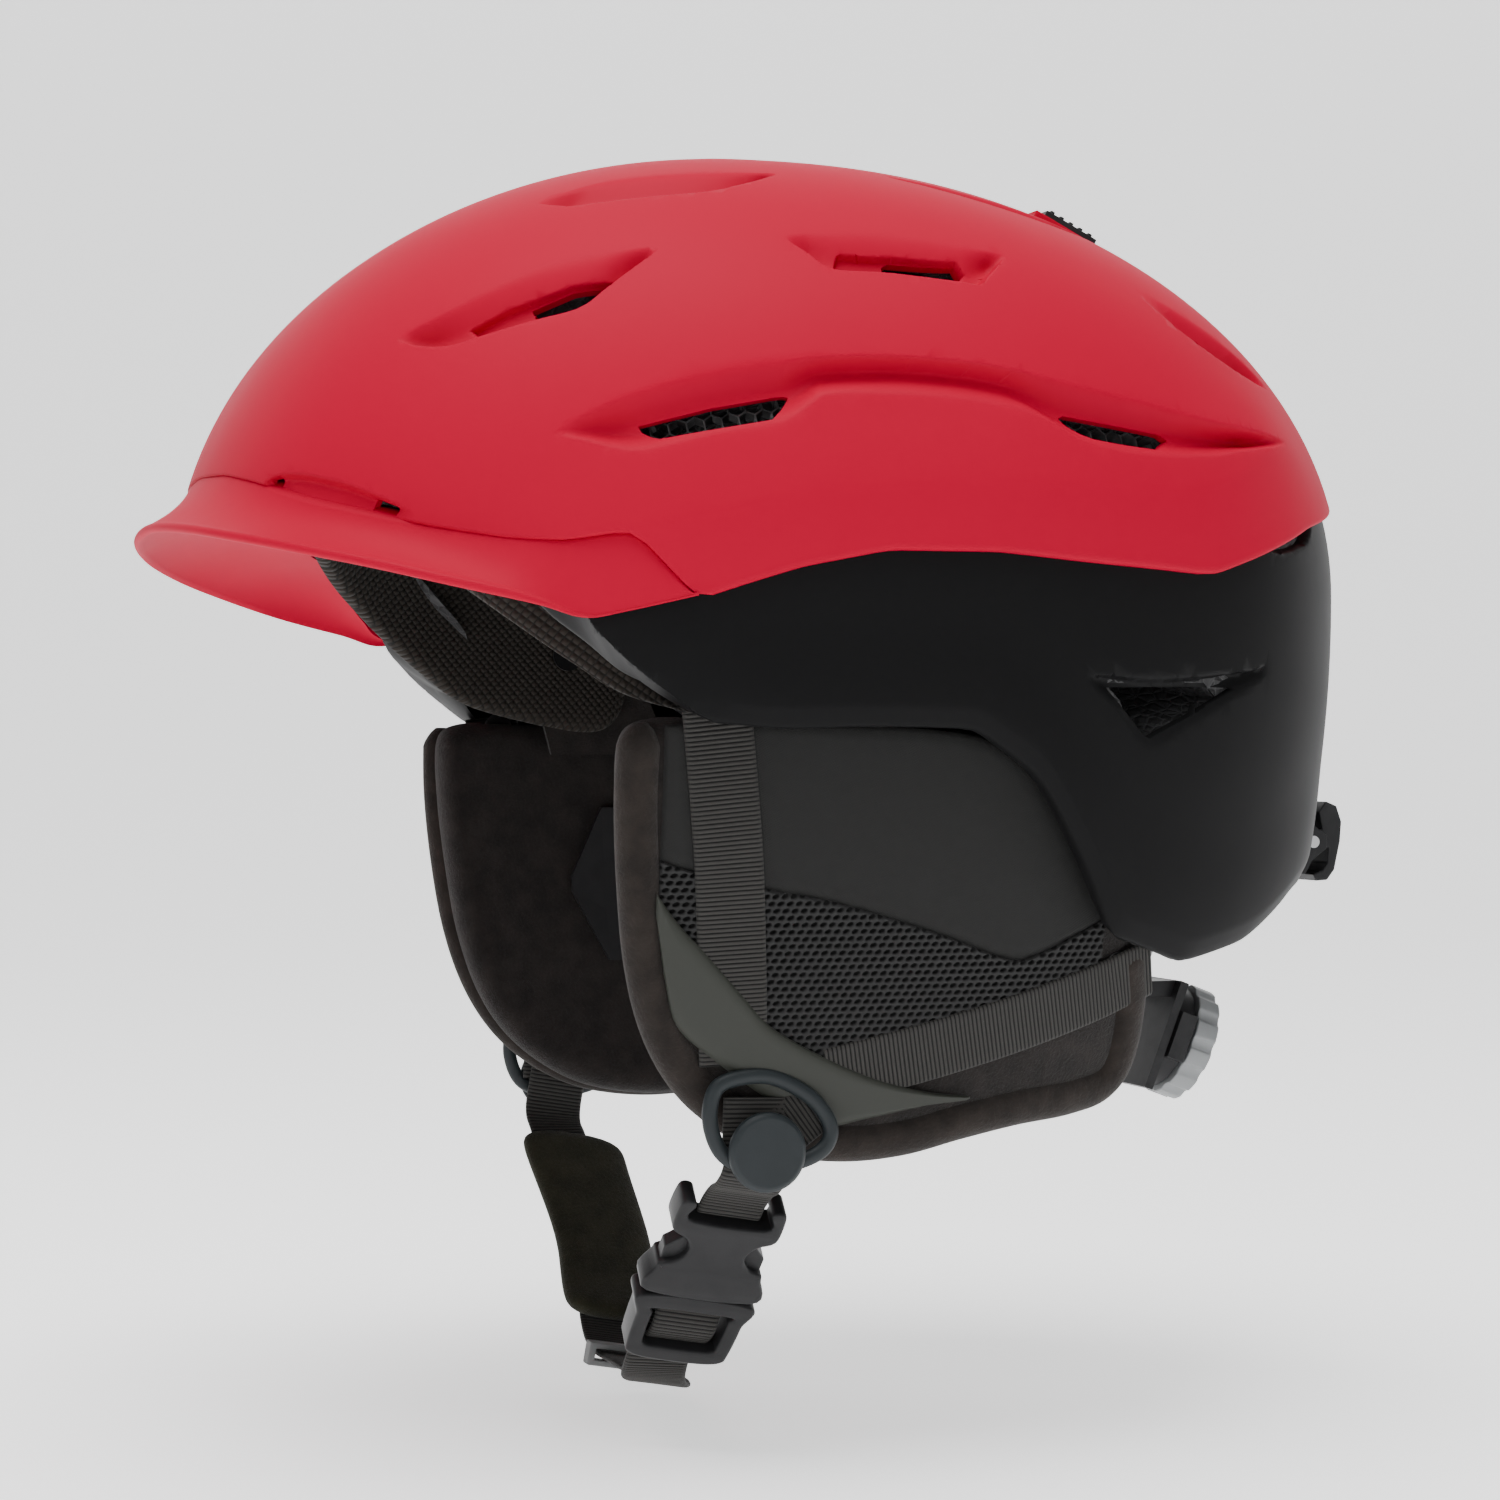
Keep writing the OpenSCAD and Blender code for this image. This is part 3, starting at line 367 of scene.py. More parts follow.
def refine(points, tris, surface, tolerance, rounds, least=0.35):
    """Splits every edge whose middle lies further than tolerance from the surface, a few times
    over. A triangle with one, two or three split edges turns into two, three or four."""
    for _ in range(rounds):
        placed = surface(points)
        edges = np.sort(np.stack([tris[:, [0, 1]], tris[:, [1, 2]], tris[:, [2, 0]]], 1).reshape(-1, 2), 1)
        unique, where = np.unique(edges, axis=0, return_inverse=True)
        where = where.reshape(-1, 3)
        middle = (points[unique[:, 0]] + points[unique[:, 1]]) / 2
        middle /= np.linalg.norm(middle, axis=1, keepdims=True)
        chord = placed[unique[:, 0]] - placed[unique[:, 1]]
        off = np.linalg.norm(surface(middle) - (placed[unique[:, 0]] + placed[unique[:, 1]]) / 2, axis=1)
        split = (off > tolerance) & (np.linalg.norm(chord, axis=1) > 2 * least)
        index = np.full(len(unique), -1)
        index[split] = len(points) + np.arange(split.sum())
        points = np.vstack([points, middle[split]])
        mids = index[where]
        count = (mids >= 0).sum(1)
        parts = [tris[count == 0]]
        # Turn each triangle so that its split edges come first
        for n in (1, 2):
            t, m = tris[count == n], mids[count == n]
            first = np.argmax(m >= 0, 1) if n == 1 else (np.argmax(m < 0, 1) + 1) % 3
            turn = (first[:, None] + np.arange(3)) % 3
            t, m = np.take_along_axis(t, turn, 1), np.take_along_axis(m, turn, 1)
            a, b, c = t.T
            ab, bc = m[:, 0], m[:, 1]
            if n == 1:
                parts += [np.stack([a, ab, c], 1), np.stack([ab, b, c], 1)]
            else:
                parts += [np.stack([ab, b, bc], 1), np.stack([a, ab, bc], 1), np.stack([a, bc, c], 1)]
        t, m = tris[count == 3], mids[count == 3]
        parts += [np.stack([t[:, 0], m[:, 0], m[:, 2]], 1), np.stack([m[:, 0], t[:, 1], m[:, 1]], 1),
                  np.stack([m[:, 2], m[:, 1], t[:, 2]], 1), m]
        tris = np.vstack(parts)
    return points, tris


def cut_away(points, tris, field):
    """Removes the part of a mesh where field is negative, with new points where edges cross 0."""
    value = field(points)
    value = np.where(np.abs(value) < 0.02, 0.0, value)
    negative = value < 0
    count = negative[tris].sum(1)
    one, two = tris[count == 1], tris[count == 2]

    def turned(t, flag):
        """Corners of each triangle, with the odd one out first."""
        turn = (np.argmax(flag, 1)[:, None] + np.arange(3)) % 3
        return np.take_along_axis(t, turn, 1).T

    a, b, c = turned(one, negative[one])
    p, q, r = turned(two, ~negative[two])
    pairs = np.concatenate([np.stack(pair, 1) for pair in ((a, b), (a, c), (p, q), (p, r))])
    unique, where = np.unique(np.sort(pairs, 1), axis=0, return_inverse=True)
    t = (value[unique[:, 0]] / (value[unique[:, 0]] - value[unique[:, 1]]))[:, None]
    made = points[unique[:, 0]] * (1 - t) + points[unique[:, 1]] * t
    ab, ac, pq, pr = np.split(where.ravel() + len(points), np.cumsum([len(a), len(a), len(p)]))
    keep = [tris[count == 0], np.stack([ab, b, c], 1), np.stack([ab, c, ac], 1), np.stack([p, pq, pr], 1)]
    return np.vstack([points, made]), np.vstack(keep)


def thicken(outer, inner, tris):
    """Closed shell from an outer and an inner set of points on the same triangles, with walls
    along every open edge."""
    n = len(outer)
    edges = np.stack([tris[:, [0, 1]], tris[:, [1, 2]], tris[:, [2, 0]]], 1).reshape(-1, 2)
    key = np.sort(edges, 1)
    _, first, times = np.unique(key, axis=0, return_index=True, return_counts=True)
    rim = edges[first[times == 1]]
    a, b = rim.T
    walls = np.vstack([np.stack([b, a, a + n], 1), np.stack([b, a + n, b + n], 1)])
    return np.vstack([outer, inner]), np.vstack([tris, tris[:, ::-1] + n, walls])


def tidy(points, tris):
    """Drops unused points and triangles without area."""
    a, b, c = (points[tris[:, k]] for k in range(3))
    area = np.linalg.norm(np.cross(b - a, c - a), axis=1)
    tris = tris[area > 1e-9]
    used, back = np.unique(tris, return_inverse=True)
    return points[used], back.reshape(tris.shape)


def make_object(name, points, faces, uv=None, soft_angle=None):
    """Mesh object from points in millimetres and a face array, shaded smooth. uv holds one pair
    for each point. soft_angle keeps edges sharper than it, in degrees, hard."""
    faces = np.asarray(faces)
    mesh = bpy.data.meshes.new(name)
    mesh.vertices.add(len(points))
    mesh.vertices.foreach_set("co", (np.asarray(points) * MM).astype(np.float32).ravel())
    corners = faces.shape[1]
    mesh.loops.add(faces.size)
    mesh.loops.foreach_set("vertex_index", faces.ravel().astype(np.int32))
    mesh.polygons.add(len(faces))
    mesh.polygons.foreach_set("loop_start", (np.arange(len(faces)) * corners).astype(np.int32))
    mesh.polygons.foreach_set("use_smooth", np.ones(len(faces), bool))
    if uv is not None:
        layer = mesh.uv_layers.new(name="UVMap")
        layer.data.foreach_set("uv", np.asarray(uv, np.float32)[faces.ravel()].ravel())
    mesh.update(calc_edges=True)
    mesh.validate()
    if soft_angle is not None:
        mesh.set_sharp_from_angle(angle=math.radians(soft_angle))
    obj = bpy.data.objects.new(name, mesh)
    bpy.context.scene.collection.objects.link(obj)
    return obj


def dress(obj, body, material, slot_name, *replaced):
    """Gives a piece its material, its body and the CAD nodes it stands for. slot_name is not used."""
    obj.data.materials.clear()
    obj.data.materials.append(material)
    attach(obj, body)
    if replaced:
        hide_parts(*replaced)
    return obj


def grid_faces(columns, rows, ring_columns=False, ring_rows=False):
    """Quads of a grid of columns by rows, closed round in either way on request."""
    i, j = np.meshgrid(np.arange(columns if ring_columns else columns - 1),
                       np.arange(rows if ring_rows else rows - 1), indexing="ij")
    a = i * rows + j
    b = ((i + 1) % columns) * rows + j
    c = ((i + 1) % columns) * rows + (j + 1) % rows
    d = i * rows + (j + 1) % rows
    return np.stack([a, b, c, d], -1).reshape(-1, 4)


def mirrored(points, side):
    """Points on the wearer's left (1) or right (-1) side."""
    return points * [side, 1, 1]


def facing(faces, side):
    """Faces turned round on the mirrored side, so that they still point outwards."""
    return faces if side > 0 else faces[:, ::-1]


def capped_tube(rings, name):
    """Closed tube from rings of points (n, k, 3): side quads and a fan at each end."""
    n, k = rings.shape[:2]
    points = rings.reshape(-1, 3)
    quads = grid_faces(n, k, ring_rows=True)
    ends = points.reshape(n, k, 3)[[0, -1]].mean(1)
    i = np.arange(k)
    j = (i + 1) % k
    base = (n - 1) * k
    fans = np.vstack([np.stack([i, j, np.full(k, n * k), np.full(k, n * k)], 1),
                      np.stack([base + j, base + i, np.full(k, n * k + 1), np.full(k, n * k + 1)], 1)])
    tris = np.vstack([quads[:, [0, 1, 2]], quads[:, [0, 2, 3]], fans[:, :3]])
    return make_object(name, np.vstack([points, ends]), tris)


def lay_uv(obj, uv):
    """Gives a tube's mesh a UV map: one pair for each ring point, and the last two for its ends."""
    layer = obj.data.uv_layers.new(name="UVMap")
    index = np.empty(len(obj.data.loops), np.int32)
    obj.data.loops.foreach_get("vertex_index", index)
    layer.data.foreach_set("uv", uv[index].astype(np.float32).ravel())


# ---------------------------------------------------------------- materials
class Maker:
    """Short calls for the nodes of one shader tree."""

    def __init__(self, tree):
        self.tree = tree

    def node(self, kind, **values):
        made = self.tree.nodes.new(kind)
        for key, value in values.items():
            setattr(made, key, value)
        return made

    def put(self, made, **inputs):
        """Sets inputs by name; an output socket is linked and anything else is a value."""
        for key, value in inputs.items():
            target = made.inputs[key.replace("_", " ")]
            if isinstance(value, bpy.types.NodeSocket):
                self.tree.links.new(value, target)
            else:
                target.default_value = value
        return made

    def math(self, operation, a, b=0.0, c=None):
        made = self.node("ShaderNodeMath", operation=operation)
        for i, value in enumerate([a, b] if c is None else [a, b, c]):
            if isinstance(value, bpy.types.NodeSocket):
                self.tree.links.new(value, made.inputs[i])
            else:
                made.inputs[i].default_value = value
        return made.outputs[0]

    def remap(self, value, low, high, to_low=0.0, to_high=1.0):
        made = self.node("ShaderNodeMapRange")
        for i, v in enumerate([value, low, high, to_low, to_high]):
            if isinstance(v, bpy.types.NodeSocket):
                self.tree.links.new(v, made.inputs[i])
            else:
                made.inputs[i].default_value = v
        return made.outputs[0]

    def blend(self, factor, a, b):
        made = self.node("ShaderNodeMix", data_type="RGBA")
        for i, v in ((0, factor), (6, a), (7, b)):
            if isinstance(v, bpy.types.NodeSocket):
                self.tree.links.new(v, made.inputs[i])
            else:
                made.inputs[i].default_value = v if i == 0 else (*v[:3], 1)
        return made.outputs[2]


def new_group(name, inputs, outputs):
    """Empty shader group with float or vector inputs and float outputs."""
    group = bpy.data.node_groups.new(name, "ShaderNodeTree")
    for key, kind, value in inputs:
        made = group.interface.new_socket(name=key, in_out="INPUT", socket_type=kind)
        if value is not None:
            made.default_value = value
    for key in outputs:
        group.interface.new_socket(name=key, in_out="OUTPUT", socket_type="NodeSocketFloat")
    return group, Maker(group), group.nodes.new("NodeGroupInput"), group.nodes.new("NodeGroupOutput")


def build_grain():
    """Moulded grain: fine pits for the bump and slow patches for colour and roughness."""
    group, m, given, result = new_group(
        "moulded_grain",
        [("Vector", "NodeSocketVector", None), ("Grain per metre", "NodeSocketFloat", 1600.0)],
        ["Height", "Patches"])
    fine = m.put(m.node("ShaderNodeTexNoise"), Vector=given.outputs[0], Scale=given.outputs[1], Detail=3.0,
                 Roughness=0.6)
    slow = m.put(m.node("ShaderNodeTexNoise"), Vector=given.outputs[0], Scale=14.0, Detail=3.0)
    m.tree.links.new(fine.outputs[0], result.inputs[0])
    m.tree.links.new(slow.outputs[0], result.inputs[1])
    return group


def build_beads():
    """Moulded foam beads: cells with sunk seams between them."""
    group, m, given, result = new_group(
        "foam_beads", [("Vector", "NodeSocketVector", None), ("Beads per metre", "NodeSocketFloat", 330.0)],
        ["Height", "Seams"])
    cells = m.put(m.node("ShaderNodeTexVoronoi", feature="DISTANCE_TO_EDGE"), Vector=given.outputs[0],
                  Scale=given.outputs[1])
    m.tree.links.new(m.remap(cells.outputs[0], 0.0, 0.22), result.inputs[0])
    m.tree.links.new(m.remap(cells.outputs[0], 0.0, 0.07, 1.0, 0.0), result.inputs[1])
    return group


def build_weave():
    """Two sets of threads that cross: a height for each and the gaps between them."""
    group, m, given, result = new_group(
        "crossed_threads",
        [("Vector", "NodeSocketVector", None), ("Threads per metre", "NodeSocketFloat", 900.0)],
        ["Height", "Gaps"])
    split = m.put(m.node("ShaderNodeSeparateXYZ"), Vector=given.outputs[0])
    turns = m.math("MULTIPLY", given.outputs[1], 2 * math.pi)
    u = m.math("SINE", m.math("MULTIPLY", split.outputs[0], turns))
    v = m.math("SINE", m.math("MULTIPLY", split.outputs[1], turns))
    height = m.math("MAXIMUM", m.math("MULTIPLY", u, v), m.math("MULTIPLY", m.math("MULTIPLY", u, v), -0.7))
    m.tree.links.new(height, result.inputs[0])
    m.tree.links.new(m.remap(m.math("ABSOLUTE", m.math("MULTIPLY", u, v)), 0.0, 0.25, 1.0, 0.0),
                     result.inputs[1])
    return group


def build_fuzz():
    """Short brushed pile: tangled fine noise and softer clumps."""
    group, m, given, result = new_group(
        "brushed_pile",
        [("Vector", "NodeSocketVector", None), ("Fibres per metre", "NodeSocketFloat", 1300.0)],
        ["Height", "Clumps"])
    fine = m.put(m.node("ShaderNodeTexNoise"), Vector=given.outputs[0], Scale=given.outputs[1], Detail=5.0,
                 Roughness=0.75, Distortion=0.8)
    clump = m.put(m.node("ShaderNodeTexNoise"), Vector=given.outputs[0], Scale=170.0, Detail=3.0)
    m.tree.links.new(m.math("ADD", fine.outputs[0], m.math("MULTIPLY", clump.outputs[0], 0.6)),
                     result.inputs[0])
    m.tree.links.new(clump.outputs[0], result.inputs[1])
    return group


def build_edge_highlight():
    """Painted edge highlight: a mask that is 1 where the surface turns sharply outwards, where the colour
    is lightened in place of light caught on the edges.
    """
    group, m, given, result = new_group(
        "painted_edge_highlight",
        [("Vector", "NodeSocketVector", None), ("Reach", "NodeSocketFloat", 0.06)],
        ["Mask"])
    sharp = m.node("ShaderNodeNewGeometry").outputs["Pointiness"]
    broken = m.put(m.node("ShaderNodeTexNoise"), Vector=given.outputs[0], Scale=260.0, Detail=4.0)
    edge = m.remap(sharp, 0.5, m.math("ADD", given.outputs[1], 0.5))
    m.tree.links.new(m.math("MULTIPLY", edge, m.remap(broken.outputs[0], 0.35, 0.6)), result.inputs[0])
    return group


GRAIN, BEADS, WEAVE, FUZZ, EDGE_HIGHLIGHT = build_grain(), build_beads(), build_weave(), build_fuzz(), build_edge_highlight()


class Finish:
    """A material with a Principled shader, object coordinates and a bump."""

    def __init__(self, name, colour, roughness, **shader):
        self.material = bpy.data.materials.new(name)
        self.material.use_nodes = True
        self.tree = self.material.node_tree
        self.m = Maker(self.tree)
        self.shader = self.tree.nodes["Principled BSDF"]
        self.colour = colour
        self.shader.inputs["Base Color"].default_value = (*colour, 1)
        self.shader.inputs["Roughness"].default_value = roughness
        for key, value in shader.items():
            self.shader.inputs[key.replace("_", " ")].default_value = value
        self.place = self.m.node("ShaderNodeTexCoord")
        self.normal = None

    def group(self, tree, coords="Object", **values):
        made = self.m.node("ShaderNodeGroup")
        made.node_tree = tree
        self.tree.links.new(self.place.outputs[coords], made.inputs["Vector"])
        for key, value in values.items():
            made.inputs[key.replace("_", " ")].default_value = value
        return made

    def bump(self, height, distance, strength=1.0):
        made = self.m.put(self.m.node("ShaderNodeBump"), Height=height, Distance=distance,
                          Strength=strength)
        if self.normal is not None:
            self.tree.links.new(self.normal, made.inputs["Normal"])
        self.normal = made.outputs[0]
        self.tree.links.new(self.normal, self.shader.inputs["Normal"])
        return self

    def tint(self, factor, other):
        """Mixes another colour in by a factor."""
        held = self.shader.inputs["Base Color"]
        now = held.links[0].from_socket if held.links else self.colour
        self.tree.links.new(self.m.blend(factor, now, other), held)
        return self

    def rough(self, value, low, high):
        self.tree.links.new(self.m.remap(value, 0.3, 0.7, low, high), self.shader.inputs["Roughness"])
        return self


def matte_plastic(name, colour, tone_and_highlight, roughness, grain=1600.0, depth=0.00004, highlight_share=0.1, gloss=0.22):
    """Moulded plastic: fine grain, slow changes of tone and a painted highlight that lightens the convex
    edges.
    """
    f = Finish(name, colour, roughness, Specular_IOR_Level=gloss)
    g = f.group(GRAIN, Grain_per_metre=grain)
    f.tint(f.m.remap(g.outputs[1], 0.35, 0.65, 0.0, 0.04), tone_and_highlight)
    # Painted highlight: the convex edges are lightened towards the lighter colour.
    f.tint(f.m.math("MULTIPLY", f.group(EDGE_HIGHLIGHT).outputs[0], highlight_share), tone_and_highlight)
    f.rough(g.outputs[1], roughness - 0.04, roughness + 0.05)
    return f.bump(g.outputs[0], depth).material


def pile(name, colour, light, fibres=1300.0, depth=0.0004):
    """Brushed fleece or knit with a soft sheen."""
    f = Finish(name, colour, 0.95, Sheen_Weight=0.12, Sheen_Roughness=0.5, Specular_IOR_Level=0.15)
    g = f.group(FUZZ, Fibres_per_metre=fibres)
    f.tint(f.m.remap(g.outputs[1], 0.35, 0.7, 0.0, 0.6), light)
    return f.bump(g.outputs[0], depth).material


def woven(name, colour, gap, threads, depth, coords="Object", roughness=0.8, sheen=0.2, turn=0.0):
    """Cloth of crossed threads with darker gaps; turn lays the threads on a slant."""
    f = Finish(name, colour, roughness, Sheen_Weight=sheen * 0.3, Sheen_Roughness=0.4,
               Specular_IOR_Level=0.25)
    g = f.group(WEAVE, coords, Threads_per_metre=threads)
    lay = f.m.node("ShaderNodeMapping")
    lay.inputs["Rotation"].default_value = (0, 0, turn)
    f.tree.links.new(f.place.outputs[coords], lay.inputs["Vector"])
    f.tree.links.new(lay.outputs[0], g.inputs["Vector"])
    f.tint(g.outputs[1], gap)
    return f.bump(g.outputs[0], depth).material


def net_finish():
    """Knitted net: grey strands by the mesh's own strand attribute, and nearly black holes."""
    f = Finish("net_thread", (0.0015, 0.0015, 0.0015), 0.7, Specular_IOR_Level=0.25)
    strand = f.m.node("ShaderNodeAttribute", attribute_name="strand").outputs["Fac"]
    g = f.group(WEAVE, "UV", Threads_per_metre=2400.0)
    f.tint(f.m.remap(strand, 0.25, 0.8), (0.024, 0.024, 0.024))
    return f.bump(g.outputs[0], 0.00008).material


def webbing_finish():
    """Ribbed webbing: light cross ribs, with a painted shade that darkens the grooves between them by the
    distance along the strap.
    """
    f = Finish("webbing", (0.040, 0.038, 0.035), 0.6, Specular_IOR_Level=0.2, Sheen_Weight=0.05)
    g = f.group(WEAVE, "UV", Threads_per_metre=1900.0)
    run = f.m.put(f.m.node("ShaderNodeSeparateXYZ"), Vector=f.place.outputs["UV"]).outputs[1]
    wave = f.m.math("ABSOLUTE", f.m.math("COSINE", f.m.math("MULTIPLY", run, math.pi / (RIB_PITCH * MM))))
    # Painted shade: near black in the grooves between the ribs, which the strap's geometry already has.
    f.tint(f.m.remap(wave, 0.78, 0.3), (0.0012, 0.0012, 0.0012))
    f.tint(f.m.math("MULTIPLY", g.outputs[1], 0.5), (0.012, 0.012, 0.012))
    return f.bump(g.outputs[0], 0.00008).material


RED = matte_plastic("red_shell", (0.43, 0.0001, 0.026), (0.5, 0.002, 0.032), 0.52, grain=2200,
                    depth=0.00001, gloss=0.04)
BLACK = matte_plastic("black_shell", (0.0065, 0.0065, 0.0068), (0.012, 0.012, 0.012), 0.48, grain=2200,
                      depth=0.00001, gloss=0.06)
PLASTIC = matte_plastic("black_plastic", (0.012, 0.012, 0.013), (0.09, 0.09, 0.09), 0.4, grain=2600,
                        depth=0.00002)
# The grille's cell edges get a strong painted highlight.
GRILLE = matte_plastic("grille_plastic", (0.02, 0.022, 0.024), (0.16, 0.17, 0.17), 0.35, highlight_share=0.5,
                       gloss=0.8)
RING = matte_plastic("ring_plastic", (0.016, 0.020, 0.022), (0.08, 0.09, 0.1), 0.45, grain=2600,
                     depth=0.00003)
DIAL = matte_plastic("dial_grey", (0.26, 0.27, 0.275), (0.5, 0.5, 0.5), 0.35)
RUBBER = matte_plastic("grey_rubber", (0.16, 0.165, 0.165), (0.25, 0.25, 0.25), 0.6)
DARK_RUBBER = matte_plastic("ear_rubber", (0.014, 0.014, 0.015), (0.03, 0.03, 0.03), 0.6)
KEEPER = matte_plastic("keeper_film", (0.026, 0.028, 0.023), (0.05, 0.052, 0.045), 0.5, grain=3000,
                       depth=0.00003)
FLEECE = pile("fleece", (0.0095, 0.0078, 0.0072), (0.024, 0.0195, 0.0175))
BINDING = pile("knit_binding", (0.014, 0.011, 0.0095), (0.034, 0.027, 0.023), fibres=900.0, depth=0.0003)
SOFTSHELL = woven("softshell", (0.011, 0.011, 0.0105), (0.006, 0.006, 0.0058), 1500.0, 0.00008, "UV", 0.7,
                  0.1, 0.4)
WEBBING = webbing_finish()
LINING = woven("mesh_lining", (0.018, 0.014, 0.0105), (0.003, 0.003, 0.003), 300.0, 0.0006, "UV", 0.85,
               0.2, 0.7)
NET = net_finish()
CHIN_FLEECE = pile("chin_fleece", (0.013, 0.0125, 0.006), (0.030, 0.029, 0.016))


def foam_finish():
    """Black beaded foam with lighter sunk seams."""
    f = Finish("beaded_foam", (0.022, 0.022, 0.023), 0.75)
    g = f.group(BEADS)
    f.tint(g.outputs[1], (0.05, 0.05, 0.052))
    return f.bump(g.outputs[0], 0.0006).material


def steel_finish():
    """Turned steel with fine scratches."""
    f = Finish("turned_steel", (0.56, 0.56, 0.57), 0.32, Metallic=1.0)
    g = f.group(GRAIN, Grain_per_metre=900.0)
    f.rough(g.outputs[1], 0.25, 0.42)
    return f.bump(g.outputs[0], 0.00002).material


FOAM = foam_finish()
STEEL = steel_finish()


# ---------------------------------------------------------------- shells and liner
def shell_piece(name, low, high, columns, rows, depth_of, hole_of, thickness, tolerance, rounds,
                least=0.35):
    """Shell over directions: refined where it bends, cut at its openings and given a thickness."""
    def surface(directions, extra=0.0):
        phi, w = angles_of(directions)
        place = form(phi, w, depth_of(phi, w) + extra)
        return place * np.where(directions[:, :1] < 0, [-1, 1, 1], [1, 1, 1])

    points, tris = direction_grid(low, high, columns, rows)
    points, tris = refine(points, tris, surface, tolerance, rounds, least)
    points, tris = cut_away(points, tris, lambda d: hole_of(*angles_of(d)))
    outer, inner = surface(points), surface(points, thickness)
    solid, faces = thicken(outer, inner, tris)
    return make_object(name, *tidy(solid, faces), soft_angle=50)


def pole(phi):
    """Upper edge of a shell that closes over the crown."""
    return 90 + 0 * phi


def tucked_top(phi):
    """Upper edge of the black shell, hidden under the red one."""
    return upper_edge(phi) + 5


def build_shells():
    """Red shell, black shell and foam liner."""
    roof = shell_piece("roof_shell", upper_edge, pole, 220, 58, roof_depth, roof_hole,
                       ROOF_THICK, 0.035, 4)
    dress(roof, "helmet", RED, "red_shell", "upper_shell")
    skirt = shell_piece("skirt_shell", lower_edge, tucked_top, 200, 16, skirt_depth, skirt_hole,
                        SKIRT_THICK, 0.03, 3)
    dress(skirt, "helmet", BLACK, "black_shell", "lower_shell")

    def liner_depth(phi, w):
        return np.maximum(np.maximum(LINER_OUT, roof_depth(phi, w) + 2.2), temple_lip(phi, w) + 4)

    def liner_hole(phi, w):
        return np.minimum(roof_hole(phi, w) - 1.2, skirt_hole(phi, w) - 1.0)

    def liner_foot(phi):
        return np.maximum(lower_edge(phi) + 4, -27)

    liner = shell_piece("foam_liner", liner_foot, pole, 120, 30, liner_depth, liner_hole,
                        LINER_IN - LINER_OUT, 0.12, 2, 0.8)
    dress(liner, "helmet", FOAM, "foam", "eps_liner")


# ---------------------------------------------------------------- brim
def build_brim():
    """Lip along the brow. A section runs from the seam down a hollow top face, round the nose
    and back under the shell and the liner to the brow pad."""
    columns = 300
    phi = np.linspace(-69, 69, columns)
    fold = np.abs(phi)
    sign = np.where(phi < 0, -1, 1)[:, None] * [1, 0, 0] + [0, 1, 1]
    edge = upper_edge(fold)
    seam = form(fold, edge - 0.08, 0.4) * sign
    out = np.stack([np.sin(np.radians(phi)), -np.cos(np.radians(phi)), 0 * phi], 1)
    up = np.array([0, 0, 1.0])
    level = np.degrees(np.arctan2(brim_tip_z(phi), 130))
    tip = form(fold, level, 0.0) * sign + out * brim_reach(phi)[:, None]
    tip[:, 2] = brim_tip_z(phi)
    root = form(fold, np.degrees(np.arctan2(brim_root_z(phi), 115)), brim_root_depth(phi)) * sign
    root[:, 2] = brim_root_z(phi)
    fade = np.clip(brim_reach(phi) / 5, 0.2, 1)[:, None]
    nose = 1.15 * fade
    # Top face: it leaves the shell steeply and runs out level to the nose
    inner = form(fold, edge * 0.4 + level * 0.6, -0.8) * sign + up * 1.0 * fade
    t = np.linspace(0, 1, 24)[:, None, None]
    top = (1 - t) ** 2 * seam + 2 * t * (1 - t) * inner + t * t * (tip + up * nose * 2)
    around = np.linspace(np.pi / 2, -np.pi / 2, 11)[1:-1, None, None]
    front = tip + up * nose + (np.cos(around) * out + np.sin(around) * up) * nose
    s = np.linspace(0, 1, 16)[:, None, None]
    hollow = tip * 0.75 + root * 0.25
    hollow[:, 2] = np.maximum(root[:, 2], tip[:, 2]) + 1.0 * fade[:, 0]
    under = (1 - s) ** 2 * tip + 2 * s * (1 - s) * hollow + s * s * root
    back = form(fold, edge + 0.9, 2.9) * sign
    behind = root * 0.4 + back * 0.6 + up * 2
    rings = np.concatenate([top, front, under, behind[None], back[None]], 0).transpose(1, 0, 2)
    brim = capped_tube(rings[::-1], "brow_brim")
    brim.data.set_sharp_from_angle(angle=math.radians(60))
    dress(brim, "helmet", RED, "red_shell", "brim")


